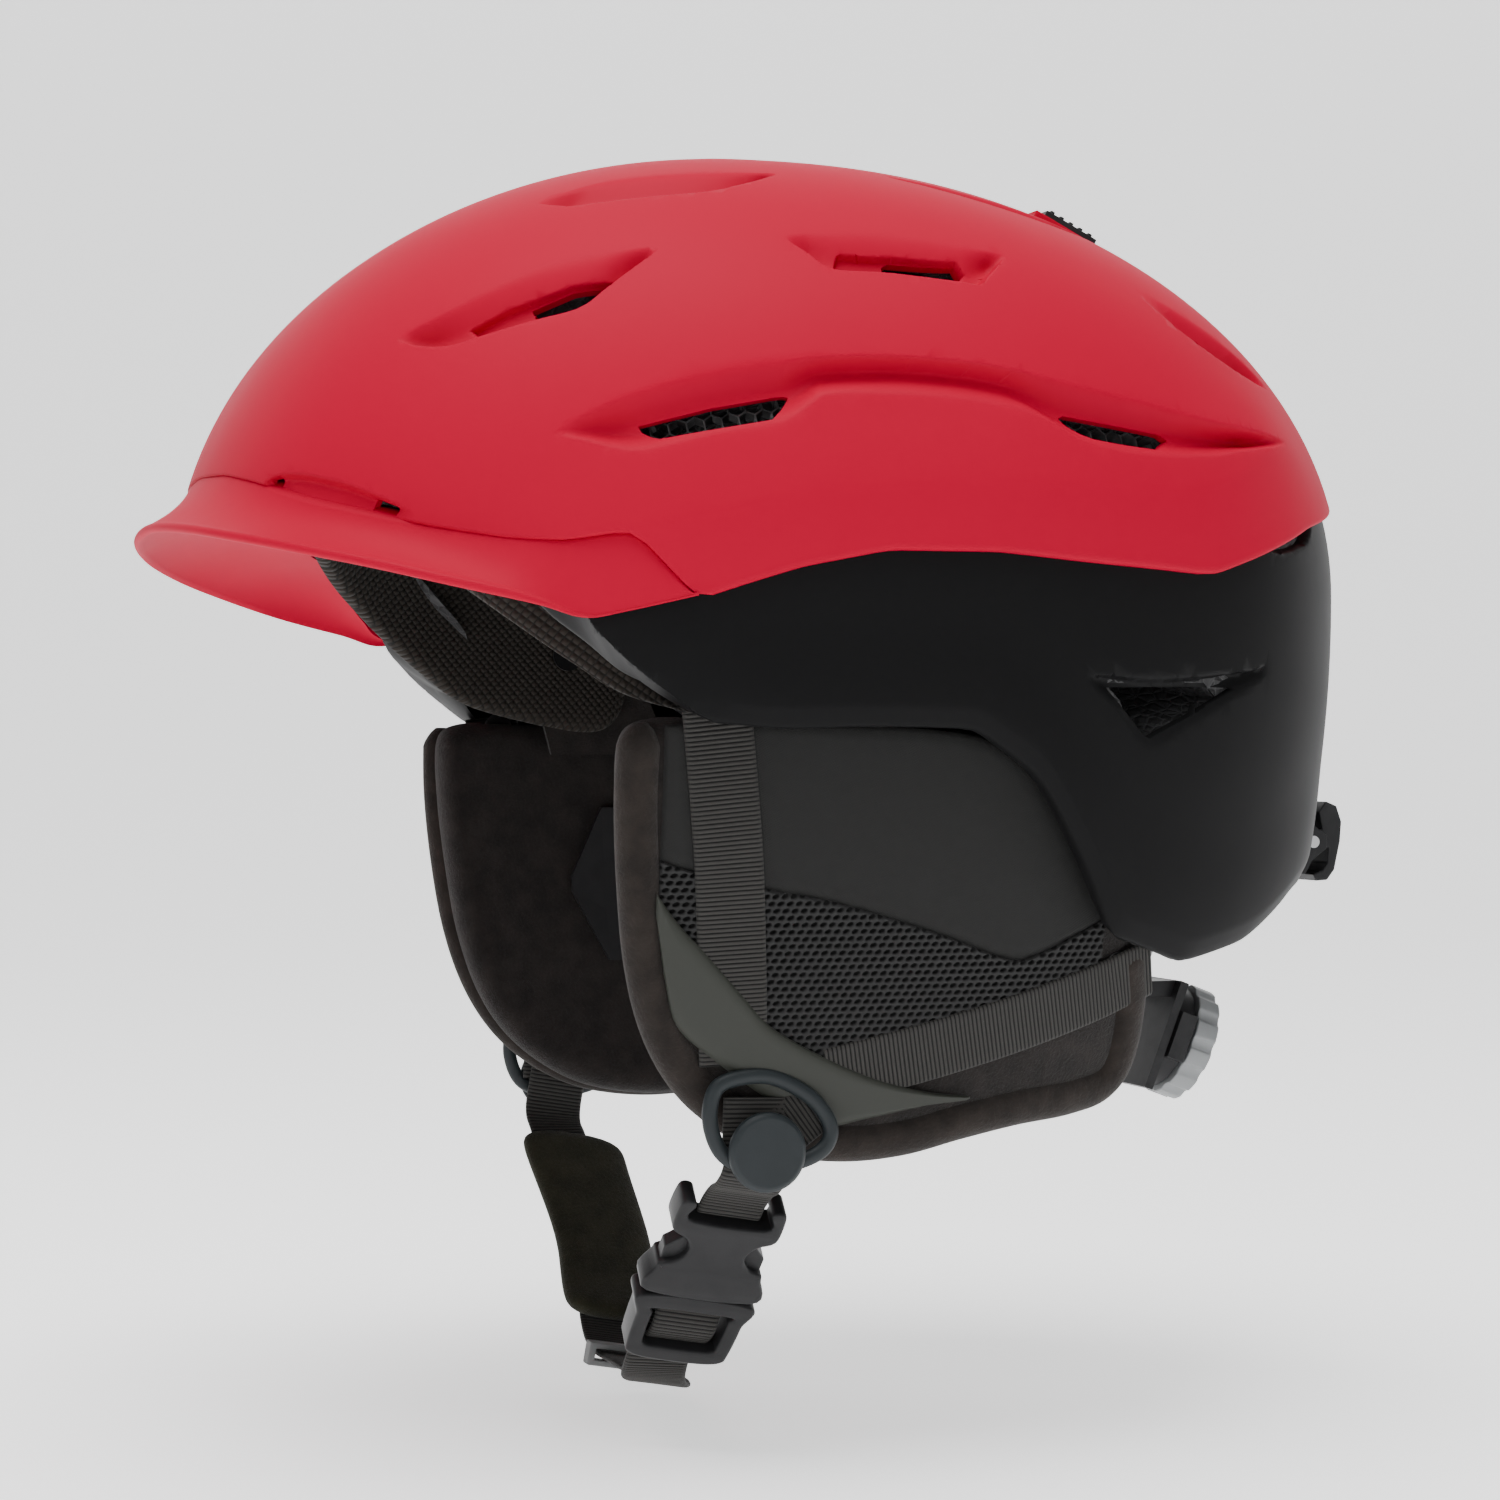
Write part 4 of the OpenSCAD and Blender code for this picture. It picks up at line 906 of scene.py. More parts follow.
# ---------------------------------------------------------------- webbing
def webbing(name, centre, across, outward, width, thickness, pitch=RIB_PITCH, ribs=0.3):
    """Ribbed strap: a flat band carried along a path. centre, across and outward are arrays of
    points and unit vectors along it. Ribs are a cosine of the distance along the strap, and
    they fade in the plain woven edges."""
    step = np.linalg.norm(np.diff(centre, axis=0), axis=1)
    run = np.concatenate([[0], np.cumsum(step)])
    count = max(12, int(run[-1] / pitch * 6))
    s = np.linspace(0, run[-1], count)
    centre, across, outward = (np.stack([np.interp(s, run, a[:, k]) for k in range(3)], 1)
                               for a in (centre, across, outward))
    across /= np.linalg.norm(across, axis=1, keepdims=True)
    outward /= np.linalg.norm(outward, axis=1, keepdims=True)
    u = np.array([-1, -0.97, -0.9, -0.86, -0.82, -0.4, 0, 0.4, 0.82, 0.86, 0.9, 0.97, 1])
    rib_zone = smooth((0.92 - np.abs(u)) / 0.08)
    edge_zone = 1 - rib_zone
    wave = np.abs(np.cos(np.pi * s / pitch))[:, None] ** 0.8
    edge_wave = 0.5 + 0.5 * np.cos(4 * np.pi * s / pitch)[:, None]
    height = thickness / 2 + ribs * (wave - 1) * rib_zone - 0.12 * edge_wave * edge_zone
    height = height * np.sqrt(np.clip(1.02 - np.abs(u) ** 14, 0.05, 1))
    face = centre[:, None] + across[:, None] * (u * width / 2)[None, :, None]
    top = face + outward[:, None] * height[..., None]
    low = face - outward[:, None] * height[..., None]
    rings = np.concatenate([top, low[:, ::-1]], 1)
    obj = capped_tube(rings, name)
    uv = np.stack([np.concatenate([u, u[::-1]])[None] * width / 2 + 0 * s[:, None],
                   s[:, None] + 0 * np.zeros(26)[None]], -1).reshape(-1, 2) * MM
    lay_uv(obj, np.vstack([uv, [[0, 0], [0, 0]]]))
    return obj


def flank(points, depth, side):
    """Places (y, z) points on the ear pad at a depth and gives the outward direction there."""
    y, z = points[:, 0], points[:, 1]
    x = side_x(y, z, depth)
    slope_y = (side_x(y + 1, z, depth) - side_x(y - 1, z, depth)) / 2
    slope_z = (side_x(y, z + 1, depth) - side_x(y, z - 1, depth)) / 2
    normal = np.stack([np.ones_like(x), -slope_y, -slope_z], 1)
    normal /= np.linalg.norm(normal, axis=1, keepdims=True)
    return mirrored(np.stack([x, y, z], 1), side), mirrored(normal, side)


def flank_strap(name, path, depth, side, width=WEB_WIDE):
    """Strap that lies on the ear pad along a path of (y, z) points."""
    centre, outward = flank(flow(path, 60), depth, side)
    along = np.gradient(centre, axis=0)
    across = np.cross(outward, along) * side
    across /= np.linalg.norm(across, axis=1, keepdims=True)
    return webbing(name, centre, across, outward, width, WEB_THICK)


CHIN_LEAN = math.radians(10)
HINGE = np.array([0, -21.0, -124.0])


def from_chin(points):
    """From the chin strap's own frame, where z hangs down the strap's plane, to the helmet's."""
    x, y, z = np.moveaxis(np.asarray(points, float), -1, 0)
    c, s = math.cos(CHIN_LEAN), math.sin(CHIN_LEAN)
    return np.stack([x, y * c + z * s, -y * s + z * c], -1) + HINGE


def turn_chin(vectors):
    """Directions from the chin strap's own frame to the helmet's."""
    return from_chin(vectors) - HINGE


def hang(x):
    """How far the loop's far side hangs back, in its own frame, at each x: it grows from the
    right ring over 34 mm and dies out over 40 mm before the buckle."""
    return 12 * smooth((x + 86) / 34) * (1 - smooth((x - 2) / 40))


def chin_band(name, path, width=WEB_WIDE, thickness=WEB_THICK, count=90):
    """Webbing of the chin strap along a path of (x, z) points in its own frame."""
    curve = flow(path, count)
    centre = from_chin(np.stack([curve[:, 0], hang(curve[:, 0]), curve[:, 1]], 1))
    along = np.gradient(centre, axis=0)
    along /= np.linalg.norm(along, axis=1, keepdims=True)
    level = turn_chin([[0, 1, 0]])
    across = level - along * (along @ level[0])[:, None]
    across /= np.linalg.norm(across, axis=1, keepdims=True)
    outward = np.cross(across, along)
    outward /= np.linalg.norm(outward, axis=1, keepdims=True)
    return webbing(name, centre, across, outward, width, thickness)


def build_straps():
    """Front and rear straps of both sides, and the three lengths of the chin loop."""
    for side, word in ((1, "left"), (-1, "right")):
        front_route = [(-35.4, -28), (-33.3, -46), (-31.6, -61), (-29.8, -81), (-28.5, -95), (-27.5, -105)]
        front = flank_strap(f"front_webbing_{word}", front_route, STRAP_DEPTH, side)
        dress(front, "helmet", WEBBING, "webbing", f"front_strap_{word}")
        rear_route = [(73.5, -86.2), (66, -88.8), (59, -91.3), (40, -97.2), (20, -102.6), (4, -106.4),
                      (-6, -108.6)]
        rear = flank_strap(f"rear_webbing_{word}", rear_route, STRAP_DEPTH, side, 14.0)
        dress(rear, "helmet", WEBBING, "webbing", f"rear_strap_{word}")
    near = chin_band("chin_webbing_left", [
        (85.7, 6), (85.7, 0), (85.6, -5.4), (82.6, -8.6), (78.4, -10.2), (74.6, -13), (72.4, -16)])
    dress(near, "chin_strap", WEBBING, "webbing", "chin_strap_left")
    far = chin_band("chin_webbing_right", [
        (-85.7, 6), (-85.7, 0), (-85.7, -6), (-84, -10), (-80, -13.5), (-76, -18.5)])
    dress(far, "chin_strap", WEBBING, "webbing", "chin_strap_right")
    middle = chin_band("chin_webbing_middle", [(-75.8, -18.8), (-68, -29), (-58, -41), (-49, -51),
                                               (-40, -58.5), (-30, -62), (-13, -62.3), (4, -62.3),
                                               (18, -61.6), (29, -59.2), (36.2, -55.4), (41, -49.4),
                                               (45.9, -42.4), (50.5, -35.9)], count=200)
    dress(middle, "chin_strap", WEBBING, "webbing", "chin_strap_middle")


# ---------------------------------------------------------------- ear pads
EAR_OUTLINE = [(-53, -34), (-53.5, -48), (-52, -66), (-49.5, -84), (-45, -99), (-38, -110.5), (-28, -119),
               (-16, -124.6), (0, -127), (14, -126), (28, -122.6), (42, -120), (56, -118.6), (67, -115.5),
               (72, -107), (72, -90), (69, -73), (60, -62), (50, -53), (41, -42.5), (30, -34.5),
               (14, -31.5), (-8, -30.5), (-34, -30), (-47, -30)]
EAR_CENTRE = np.array([4.0, -76.0])


def ear_sections(side, swell=1.6, columns=150):
    """Cushion between two depths: outline points run round it, and each section goes from the
    outer face's middle, over a round edge, to the inner face's middle."""
    outline = flow(EAR_OUTLINE, columns, closed=True)
    reach = np.linalg.norm(outline - EAR_CENTRE, axis=1)
    radius = (EAR_IN - EAR_OUT) / 2
    turn = np.linspace(-np.pi / 2, np.pi / 2, 13)
    inset = np.concatenate([np.linspace(1, 0.06, 16)[:, None] * (reach - radius) + radius,
                            radius * (1 - np.cos(turn))[1:-1, None] + 0 * reach,
                            np.linspace(0.06, 1, 16)[:, None] * (reach - radius) + radius])
    mid = (EAR_OUT + EAR_IN) / 2
    depth = np.concatenate([np.full(16, EAR_OUT), mid + radius * np.sin(turn)[1:-1], np.full(16, EAR_IN)])
    share = 1 - inset / reach
    places = EAR_CENTRE + (outline - EAR_CENTRE)[None] * share[..., None]
    crown = swell * (1 - share**2)
    sign = np.where(depth < mid, 0.0, 1.0)[:, None]
    depth = depth[:, None] + crown * sign
    y, z = places[..., 0], places[..., 1]
    x = side_x(y, z, depth)
    return mirrored(np.stack([x, y, z], -1), side)


def build_ear_pad(side, word):
    """Fleece cushion: the sections joined into one closed skin."""
    sections = ear_sections(side)
    rings, columns = sections.shape[:2]
    faces = grid_faces(rings, columns, ring_rows=True)
    points = sections.reshape(-1, 3)
    caps = np.vstack([points[:columns].mean(0), points[-columns:].mean(0)])
    i = np.arange(columns)
    j = (i + 1) % columns
    last = (rings - 1) * columns
    fans = np.vstack([np.stack([j, i, np.full(columns, len(points))], 1),
                      np.stack([last + i, last + j, np.full(columns, len(points) + 1)], 1)])
    tris = np.vstack([faces[:, [0, 1, 2]], faces[:, [0, 2, 3]], fans])
    tris = tris if side > 0 else tris[:, ::-1]
    pad = make_object(f"ear_cushion_{word}", np.vstack([points, caps]), tris[:, ::-1])
    dress(pad, "helmet", FLEECE, "fleece", f"ear_pad_{word}")


def flank_sheet(name, columns, rows, low, high, y_range, depth, thickness, side, relief=None):
    """Thin panel on the ear pad between two curves of z by y, with an optional relief."""
    y = np.linspace(*y_range, columns)
    t = np.linspace(0, 1, rows)
    z = low(y)[:, None] + (high(y) - low(y))[:, None] * t
    y = y[:, None] + 0 * z
    flat, out = flank(np.stack([y.ravel(), z.ravel()], 1), depth, side)
    border = np.minimum.outer(np.minimum(np.arange(columns), np.arange(columns)[::-1]), np.full(rows, 99))
    border = np.minimum(border, np.minimum(np.arange(rows), np.arange(rows)[::-1])[None])
    lift = thickness * np.clip(border / 2.0, 0, 1)
    if relief is not None:
        lift = lift + relief(y, z) * np.clip(border / 2.0, 0, 1)
    top = flat + out * lift.reshape(-1, 1)
    low_face = flat - out * 0.3
    quads = grid_faces(columns, rows)
    n = columns * rows
    rim = np.concatenate([np.arange(rows - 1), np.arange(columns - 1) * rows + rows - 1,
                          (columns - 1) * rows + np.arange(rows - 1, 0, -1),
                          np.arange(columns - 1, 0, -1) * rows])
    nxt = np.roll(rim, -1)
    faces = np.vstack([quads, quads[:, ::-1] + n, np.stack([rim, nxt, nxt + n, rim + n], 1)])
    uv = np.vstack([np.stack([y.ravel(), z.ravel()], 1)] * 2) * MM
    obj = make_object(name, np.vstack([top, low_face]), facing(faces, side), uv)
    if relief is not None:
        strand = obj.data.attributes.new("strand", "FLOAT", "POINT")
        strand.data.foreach_set("value", np.tile(relief(y, z).ravel() / 0.8, 2).astype(np.float32))
    return obj


PANEL_SPAN = (-46, 59.5)


def table(points):
    """Function of y that follows a smooth curve through (y, z) points."""
    curve = flow(points)
    return lambda y: np.interp(y, curve[:, 0], curve[:, 1])


panel_top = table([(-52, -32), (-34, -31), (-8, -31.5), (14, -32.5), (30, -35.5), (41, -43.5), (50, -54),
                   (60, -63), (68, -72)])
net_top = table([(-47.5, -59.5), (-42, -62), (-32, -64.5), (-22, -66.9), (-6.4, -70), (16.6, -76.8),
                 (35.2, -83.1), (44, -81.5), (52, -77.9), (59.5, -74.5)])
net_low = table([(-47.5, -76), (-40, -82), (-30, -92), (-20, -101), (-8, -108), (8, -108), (22, -105),
                 (36, -101), (50, -97), (59.5, -94)])
keeper_top = table([(-47.5, -66.6), (-42, -74), (-35.6, -80.7), (-27, -90), (-20, -97), (-8.6, -103.4),
                    (5, -109.2), (18, -112.6), (29, -114)])
keeper_low = table([(-47.5, -68), (-45.6, -78), (-43.8, -87), (-40.6, -96.5), (-32.3, -103.8),
                    (-20, -112.5), (-7.4, -119.5), (5, -118), (18, -115.6), (29, -114.4)])


NET_ROW, NET_STEP, NET_SHIFT = 1.55, 2.05, 1.02


def net_relief(y, z):
    """Knitted net: strands that part and meet round oval holes in staggered, slanting rows."""
    row = np.round(z / NET_ROW)
    u = (y + 0.12 * (z + 80) + NET_SHIFT * (row % 2)) % NET_STEP / NET_STEP - 0.5
    v = z / NET_ROW - row - 0.35 * u
    hole = (u / 0.36) ** 2 + (v / 0.27) ** 2
    return 0.8 * np.clip((hole - 0.7) / 0.8, 0, 1)


def build_ear_layers(side, word):
    """Softshell, net and keeper sheets on the cushion, and the knit roll round its edge."""
    shell = flank_sheet(f"softshell_panel_{word}", 90, 40, net_top, panel_top, PANEL_SPAN, PANEL_DEPTH,
                        0.55, side)
    dress(shell, "helmet", SOFTSHELL, "keeper_film")
    net = flank_sheet(f"net_panel_{word}", 400, 140, net_low, net_top, PANEL_SPAN, PANEL_DEPTH, 0.2, side,
                      net_relief)
    dress(net, "helmet", NET, "mesh_fabric")
    keeper = flank_sheet(f"keeper_strip_{word}", 120, 16, keeper_low, keeper_top, (-46.8, 28.6),
                         KEEPER_DEPTH, 0.75, side)
    dress(keeper, "helmet", KEEPER, "keeper_film", f"keeper_band_{word}")
    # Knit binding: a roll along the front and the foot of the pad
    route = [(-50.5, -31), (-50.8, -48), (-49.5, -66), (-47, -83), (-42.6, -97), (-35.8, -108),
             (-26.4, -116), (-15, -121.2), (0, -123.4), (14, -122.6), (28, -119.4), (42, -116.8),
             (56, -115.2), (65, -112.6), (69, -106), (69.4, -93), (67, -81)]
    path = flow(route, 220)
    centre, out = flank(path, ROLL_DEPTH, side)
    along = np.gradient(centre, axis=0)
    along /= np.linalg.norm(along, axis=1, keepdims=True)
    across = np.cross(out, along)
    turn = np.linspace(0, 2 * np.pi, 28, endpoint=False)
    fade = np.sqrt(np.clip(np.minimum(np.arange(220), np.arange(220)[::-1]) / 4 + 0.1, 0, 1))[:, None, None]
    rings = centre[:, None] + fade * (np.cos(turn)[None, :, None] * out[:, None] * 4.0
                                      + np.sin(turn)[None, :, None] * across[:, None] * 4.9)
    roll = capped_tube(rings if side > 0 else rings[:, ::-1], f"knit_binding_{word}")
    dress(roll, "helmet", BINDING, "fleece")


# ---------------------------------------------------------------- comfort pads
def band_pad(name, angles, low, high, outer, inner, replaced, body="helmet", ring=False, columns=160):
    """Pad on the liner's inner face: its section is a flattened oval between two depths."""
    phi = np.linspace(*angles, columns, endpoint=not ring)
    fold = np.abs(np.where(phi > 180, 360 - phi, phi))
    sign = np.where((phi > 180) | (phi < 0), -1, 1)
    turn = np.linspace(0, 2 * np.pi, 44, endpoint=False)
    squash = np.sign(np.cos(turn)) * np.abs(np.cos(turn)) ** 0.45
    rise = np.sign(np.sin(turn)) * np.abs(np.sin(turn)) ** 0.6
    ends = 1.0 if ring else np.sqrt(np.clip(1 - np.abs(np.linspace(-1, 1, columns)) ** 24, 0.02,
                                            1))[:, None]
    middle, half = (low(fold) + high(fold))[:, None] / 2, (high(fold) - low(fold))[:, None] / 2
    w = middle + half * squash[None] * ends
    depth = (outer + inner) / 2 - (inner - outer) / 2 * rise[None] * ends
    points = form(fold[:, None] + 0 * w, w, depth) * (sign[:, None, None] * [1, 0, 0] + [0, 1, 1])
    uv = np.stack([np.radians(phi)[:, None] * 90 + 0 * w, w * 1.7], -1).reshape(-1, 2) * MM
    if ring:
        obj = make_object(name, points.reshape(-1, 3), grid_faces(columns, 44, True, True)[:, ::-1], uv)
    else:
        obj = capped_tube(points[:, ::-1], name)
        uv = uv.reshape(columns, 44, 2)[:, ::-1].reshape(-1, 2)
        lay_uv(obj, np.vstack([uv, uv[:1], uv[-1:]]))
    dress(obj, body, LINING, "mesh_fabric", replaced)


def level(w):
    """Edge that stays at one elevation all round."""
    return lambda phi: w + 0 * phi


def build_comfort_pads():
    """Brow, crown, side and nape pads of mesh-lined foam."""
    brow_foot = line([(0, 9), (14, 8.4), (24, 6.4), (35, 0.4), (43, -5), (51, -10.8), (58.5, -15.6),
                      (73, -20), (89, -24)])
    brow_top = line([(0, 22), (45, 18), (66, 10), (76, 2.5), (89, 1.5)])
    band_pad("brow_cushion", (-88, 88), brow_foot, brow_top, PAD_DEPTH - 0.9, PAD_DEPTH + 4.6, "brow_pad",
             columns=240)
    band_pad("crown_cushion", (0, 360), level(62), level(84), PAD_DEPTH, PAD_DEPTH + 6, "crown_pad",
             ring=True)
    for word, angles in (("left", (75, 128)), ("right", (232, 285))):
        band_pad(f"side_cushion_{word}", angles, level(4), level(26), PAD_DEPTH, PAD_DEPTH + 6,
                 f"side_pad_{word}", columns=70)
    band_pad("nape_cushion", (148, 212), level(-46), level(-37), 32.2, 37, "nape_pad", body="fit_cradle",
             columns=80)


def build_chin_pad():
    """Fleece sleeve on the wearer's right: a long pillow along the strap, wide at its upper end."""
    path = flow([(-74.8, -12.6), (-70.5, -19.6), (-63, -29.6), (-54, -40.4), (-46.5, -48.5), (-39.5, -54)],
                 80)
    centre = from_chin(np.stack([path[:, 0], hang(path[:, 0]), path[:, 1]], 1))
    along = np.gradient(centre, axis=0)
    across = turn_chin([[0, 1, 0]])
    outward = np.cross(across, along)
    outward /= np.linalg.norm(outward, axis=1, keepdims=True)
    t = np.linspace(0, 1, 80)
    ends = np.sqrt(np.clip(1 - np.abs(2 * t - 1) ** 12, 0.01, 1))
    width = (14.2 - 2.4 * t) * ends
    turn = np.linspace(0, 2 * np.pi, 40, endpoint=False)
    a = np.sign(np.cos(turn)) * np.abs(np.cos(turn)) ** 0.6
    b = np.sign(np.sin(turn)) * np.abs(np.sin(turn)) ** 0.8
    inward = centre + outward * 1.0
    rings = (inward[:, None] + across[None] * (width[:, None] * a[None])[..., None]
             + outward[:, None] * (3.0 * ends[:, None] * b[None])[..., None])
    pad = capped_tube(rings, "chin_cushion")
    dress(pad, "chin_strap", CHIN_FLEECE, "fleece", "chin_pad")


# ---------------------------------------------------------------- moulded parts
def soften(node, name, body, material, slot_name, radius, segments=3, angle=28):
    """Copy of a CAD part with its edges rounded."""
    mesh = nodes[node].data.copy()
    mesh.name = name
    work = bmesh.new()
    work.from_mesh(mesh)
    bmesh.ops.remove_doubles(work, verts=work.verts, dist=1e-6)
    bmesh.ops.dissolve_limit(work, angle_limit=math.radians(2), verts=work.verts, edges=work.edges)
    work.to_mesh(mesh)
    work.free()
    obj = bpy.data.objects.new(name, mesh)
    bpy.context.scene.collection.objects.link(obj)
    bevel = obj.modifiers.new("edges", "BEVEL")
    bevel.width = radius * MM
    bevel.segments = segments
    bevel.limit_method = "ANGLE"
    bevel.angle_limit = math.radians(angle)
    bevel.harden_normals = False
    mesh.polygons.foreach_set("use_smooth", np.ones(len(mesh.polygons), bool))
    mesh.set_sharp_from_angle(angle=math.radians(angle))
    return dress(obj, body, material, slot_name, node)


def build_rings():
    """Rounded triangular rings: an oval section carried round a closed path of (y, z) points."""
    path = flow([(-32, -110.4), (-27, -108), (-19, -108), (-10.5, -112.4), (-5.8, -118.6), (-6.8, -123.4),
                 (-12.5, -126.4), (-22, -127.6), (-30, -124.6), (-33.2, -117.4)], 140, closed=True)
    turn = np.linspace(0, 2 * np.pi, 20, endpoint=False)
    along = np.roll(path, -1, 0) - np.roll(path, 1, 0)
    along /= np.linalg.norm(along, axis=1, keepdims=True)
    away = np.stack([along[:, 1], -along[:, 0]], 1)
    wide, thick = np.cos(turn) * 1.75, np.sin(turn) * 1.45
    for side, word in ((1, "left"), (-1, "right")):
        x = RING_OUT + 0 * path[:, :1] + thick[None]
        yz = path[:, None] + away[:, None] * wide[None, :, None]
        points = mirrored(np.concatenate([x[..., None], yz], 2), side).reshape(-1, 3)
        faces = facing(grid_faces(len(path), 20, True, True), -side)
        ring = make_object(f"strap_ring_{word}", points, faces)
        dress(ring, "helmet", RING, "ring_plastic", f"strap_divider_{word}")


def build_anchors():
    """Four washers under the straps' upper ends: domed discs on the pad's outer face."""
    turn = np.linspace(0, 2 * np.pi, 40, endpoint=False)
    radius = np.array([0.01, 2.6, 3.6, 3.9, 3.9, 3.6, 2.6, 0.01])
    height = np.array([0.5, 0.5, 0.35, 0.1, -0.4, -0.5, -0.5, -0.5])
    parts, faces = [], []
    for side in (1, -1):
        for y, z in ((-33.8, -31), (64.5, -86)):
            centre, out = flank(np.array([[y, z]], float), 10.2, side)
            up = np.array([0, 0, 1.0]) - out[0] * out[0, 2]
            up /= np.linalg.norm(up)
            wide = np.cross(up, out[0]) * side
            rings = (centre[0] + height[:, None, None] * out[0]
                     + radius[:, None, None] * (np.cos(turn)[None, :, None] * wide
                                                + np.sin(turn)[None, :, None] * up))
            base = sum(len(p) for p in parts)
            parts.append(rings.reshape(-1, 3))
            faces.append(facing(grid_faces(8, 40, ring_rows=True), -side) + base)
    obj = make_object("strap_washers", np.vstack(parts), np.vstack(faces), soft_angle=40)
    dress(obj, "helmet", STEEL, "steel", "strap_anchors")


BOX_SIDES = np.array([[0, 1, 2, 3], [7, 6, 5, 4], [0, 4, 5, 1], [1, 5, 6, 2], [2, 6, 7, 3], [3, 7, 4, 0]])
# Grilles: place, middle as (phi, w), turn in degrees, and half size in millimetres
GRILLES = [("front", (70.2, 17.6), 12, (19, 7.5)), ("rear", (120.6, 16.6), -9, (16, 6))]


def build_honeycombs():
    """Honeycomb grilles: thin walls along the edges of hexagons, wrapped on the form at a depth.
    Hexagon centres stand at (i + j / 2, j sqrt(3) / 2) times the cell's width."""
    cell, wall, deep, tall = 4.1, 0.34, 7.6, 3.4
    for place, centre, roll, reach in GRILLES:
        i, j = np.meshgrid(np.arange(-9, 10), np.arange(-5, 6), indexing="ij")
        x, y = ((i + j / 2) * cell).ravel(), (j * math.sqrt(3) / 2 * cell).ravel()
        keep = (np.abs(x) < reach[0]) & (np.abs(y) < reach[1])
        middle = np.stack([x[keep], y[keep]], 1)
        angle = np.radians(np.arange(6) * 60 + 30)
        corner = np.stack([np.cos(angle), np.sin(angle)], 1) * cell / math.sqrt(3)
        a = (middle[:, None] + corner[None]).reshape(-1, 2)
        b = (middle[:, None] + np.roll(corner, -1, 0)[None]).reshape(-1, 2)
        half = np.round((a + b) / 2, 2)
        _, first = np.unique(half, axis=0, return_index=True)
        a, b = a[first], b[first]
        along = (b - a) / np.linalg.norm(b - a, axis=1, keepdims=True)
        off = np.stack([-along[:, 1], along[:, 0]], 1) * wall / 2
        flat = np.stack([a - off, b - off, b + off, a + off], 1)
        turn = math.radians(roll)
        u = flat[..., 0] * math.cos(turn) - flat[..., 1] * math.sin(turn)
        v = flat[..., 0] * math.sin(turn) + flat[..., 1] * math.cos(turn)
        phi = centre[0] + u / (DEG * 0.93)
        w = centre[1] + v / DEG
        for side, word in ((1, "left"), (-1, "right")):
            outer = mirrored(form(phi, w, deep), side)
            inner = mirrored(form(phi, w, deep + tall), side)
            points = np.concatenate([outer, inner], 1).reshape(-1, 3)
            faces = (np.arange(len(a))[:, None, None] * 8 + BOX_SIDES[None]).reshape(-1, 4)
            grille = make_object(f"honeycomb_{place}_{word}", points, facing(faces, side), soft_angle=30)
            dress(grille, "helmet", GRILLE, "black_plastic", f"grille_{place}_{word}")


BUCKLE_LEAN = math.radians(35)


def from_buckle(points):
    """From the buckle's own frame, where z runs up the buckle, y across and x out of its face."""
    x, y, z = np.moveaxis(np.asarray(points, float), -1, 0)
    c, s = math.cos(BUCKLE_LEAN), math.sin(BUCKLE_LEAN)
    return from_chin(np.stack([x * c + z * s + PLUG_OUT, y, -x * s + z * c - PLUG_DROP], -1))


def moulding(name, outlines, low, high, edge):
    """Moulded plate in the buckle's frame: outlines of (y, z) points, the first outside and the
    rest windows, extruded from x = low to high with rounded edges."""
    curve = bpy.data.curves.new(name, "CURVE")
    curve.dimensions = "2D"
    curve.fill_mode = "BOTH"
    curve.extrude = ((high - low) / 2 - edge) * MM
    curve.bevel_depth = edge * MM
    curve.bevel_resolution = 3
    curve.offset = -edge * MM
    for points in outlines:
        points = np.asarray(points, float) * MM
        spline = curve.splines.new("POLY")
        spline.points.add(len(points) - 1)
        padding = np.tile([0.0, 1.0], (len(points), 1))
        spline.points.foreach_set("co", np.column_stack([points, padding]).ravel())
        spline.use_cyclic_u = True
    shape = bpy.data.objects.new(name, curve)
    mesh = bpy.data.meshes.new_from_object(shape)
    bpy.data.objects.remove(shape)
    work = bmesh.new()
    work.from_mesh(mesh)
    bmesh.ops.remove_doubles(work, verts=work.verts, dist=1e-6)
    bmesh.ops.recalc_face_normals(work, faces=work.faces)
    work.to_mesh(mesh)
    work.free()
    co = np.empty(len(mesh.vertices) * 3, np.float32)
    mesh.vertices.foreach_get("co", co)
    y, z, x = (co.reshape(-1, 3) / MM).T
    mesh.vertices.foreach_set("co", (from_buckle(np.stack([x + (low + high) / 2, y, z], 1)) * MM)
                              .astype(np.float32).ravel())
    mesh.name = name
    mesh.polygons.foreach_set("use_smooth", np.ones(len(mesh.polygons), bool))
    mesh.set_sharp_from_angle(angle=math.radians(35))
    obj = bpy.data.objects.new(name, mesh)
    bpy.context.scene.collection.objects.link(obj)
    return obj


def whole(half):
    """Closed outline from its half with y above 0, listed downwards."""
    return half + [(-y, z) for y, z in half[::-1]]


SOCKET_HALF = [(8.7, -4.6), (8.8, -0.6), (9.6, 0.7), (11.4, 0.7), (12.4, -0.8), (12.6, -6.2), (11.6, -8.4),
                (8.6, -10), (7, -12.4), (7, -14.4), (8.8, -16.6), (11.6, -17.6), (12.5, -19.2),
               (12.6, -26.4)]
PLUG_HALF = [(12.4, -27.4), (12.6, -34), (12.2, -42), (11.2, -45), (6, -46.2)]
PLUG_WINDOW_HALF = [(8.4, -31.2), (9, -33), (8.8, -40), (8, -42), (4, -42.4)]
BUCKLE_HALF_THICK = 4


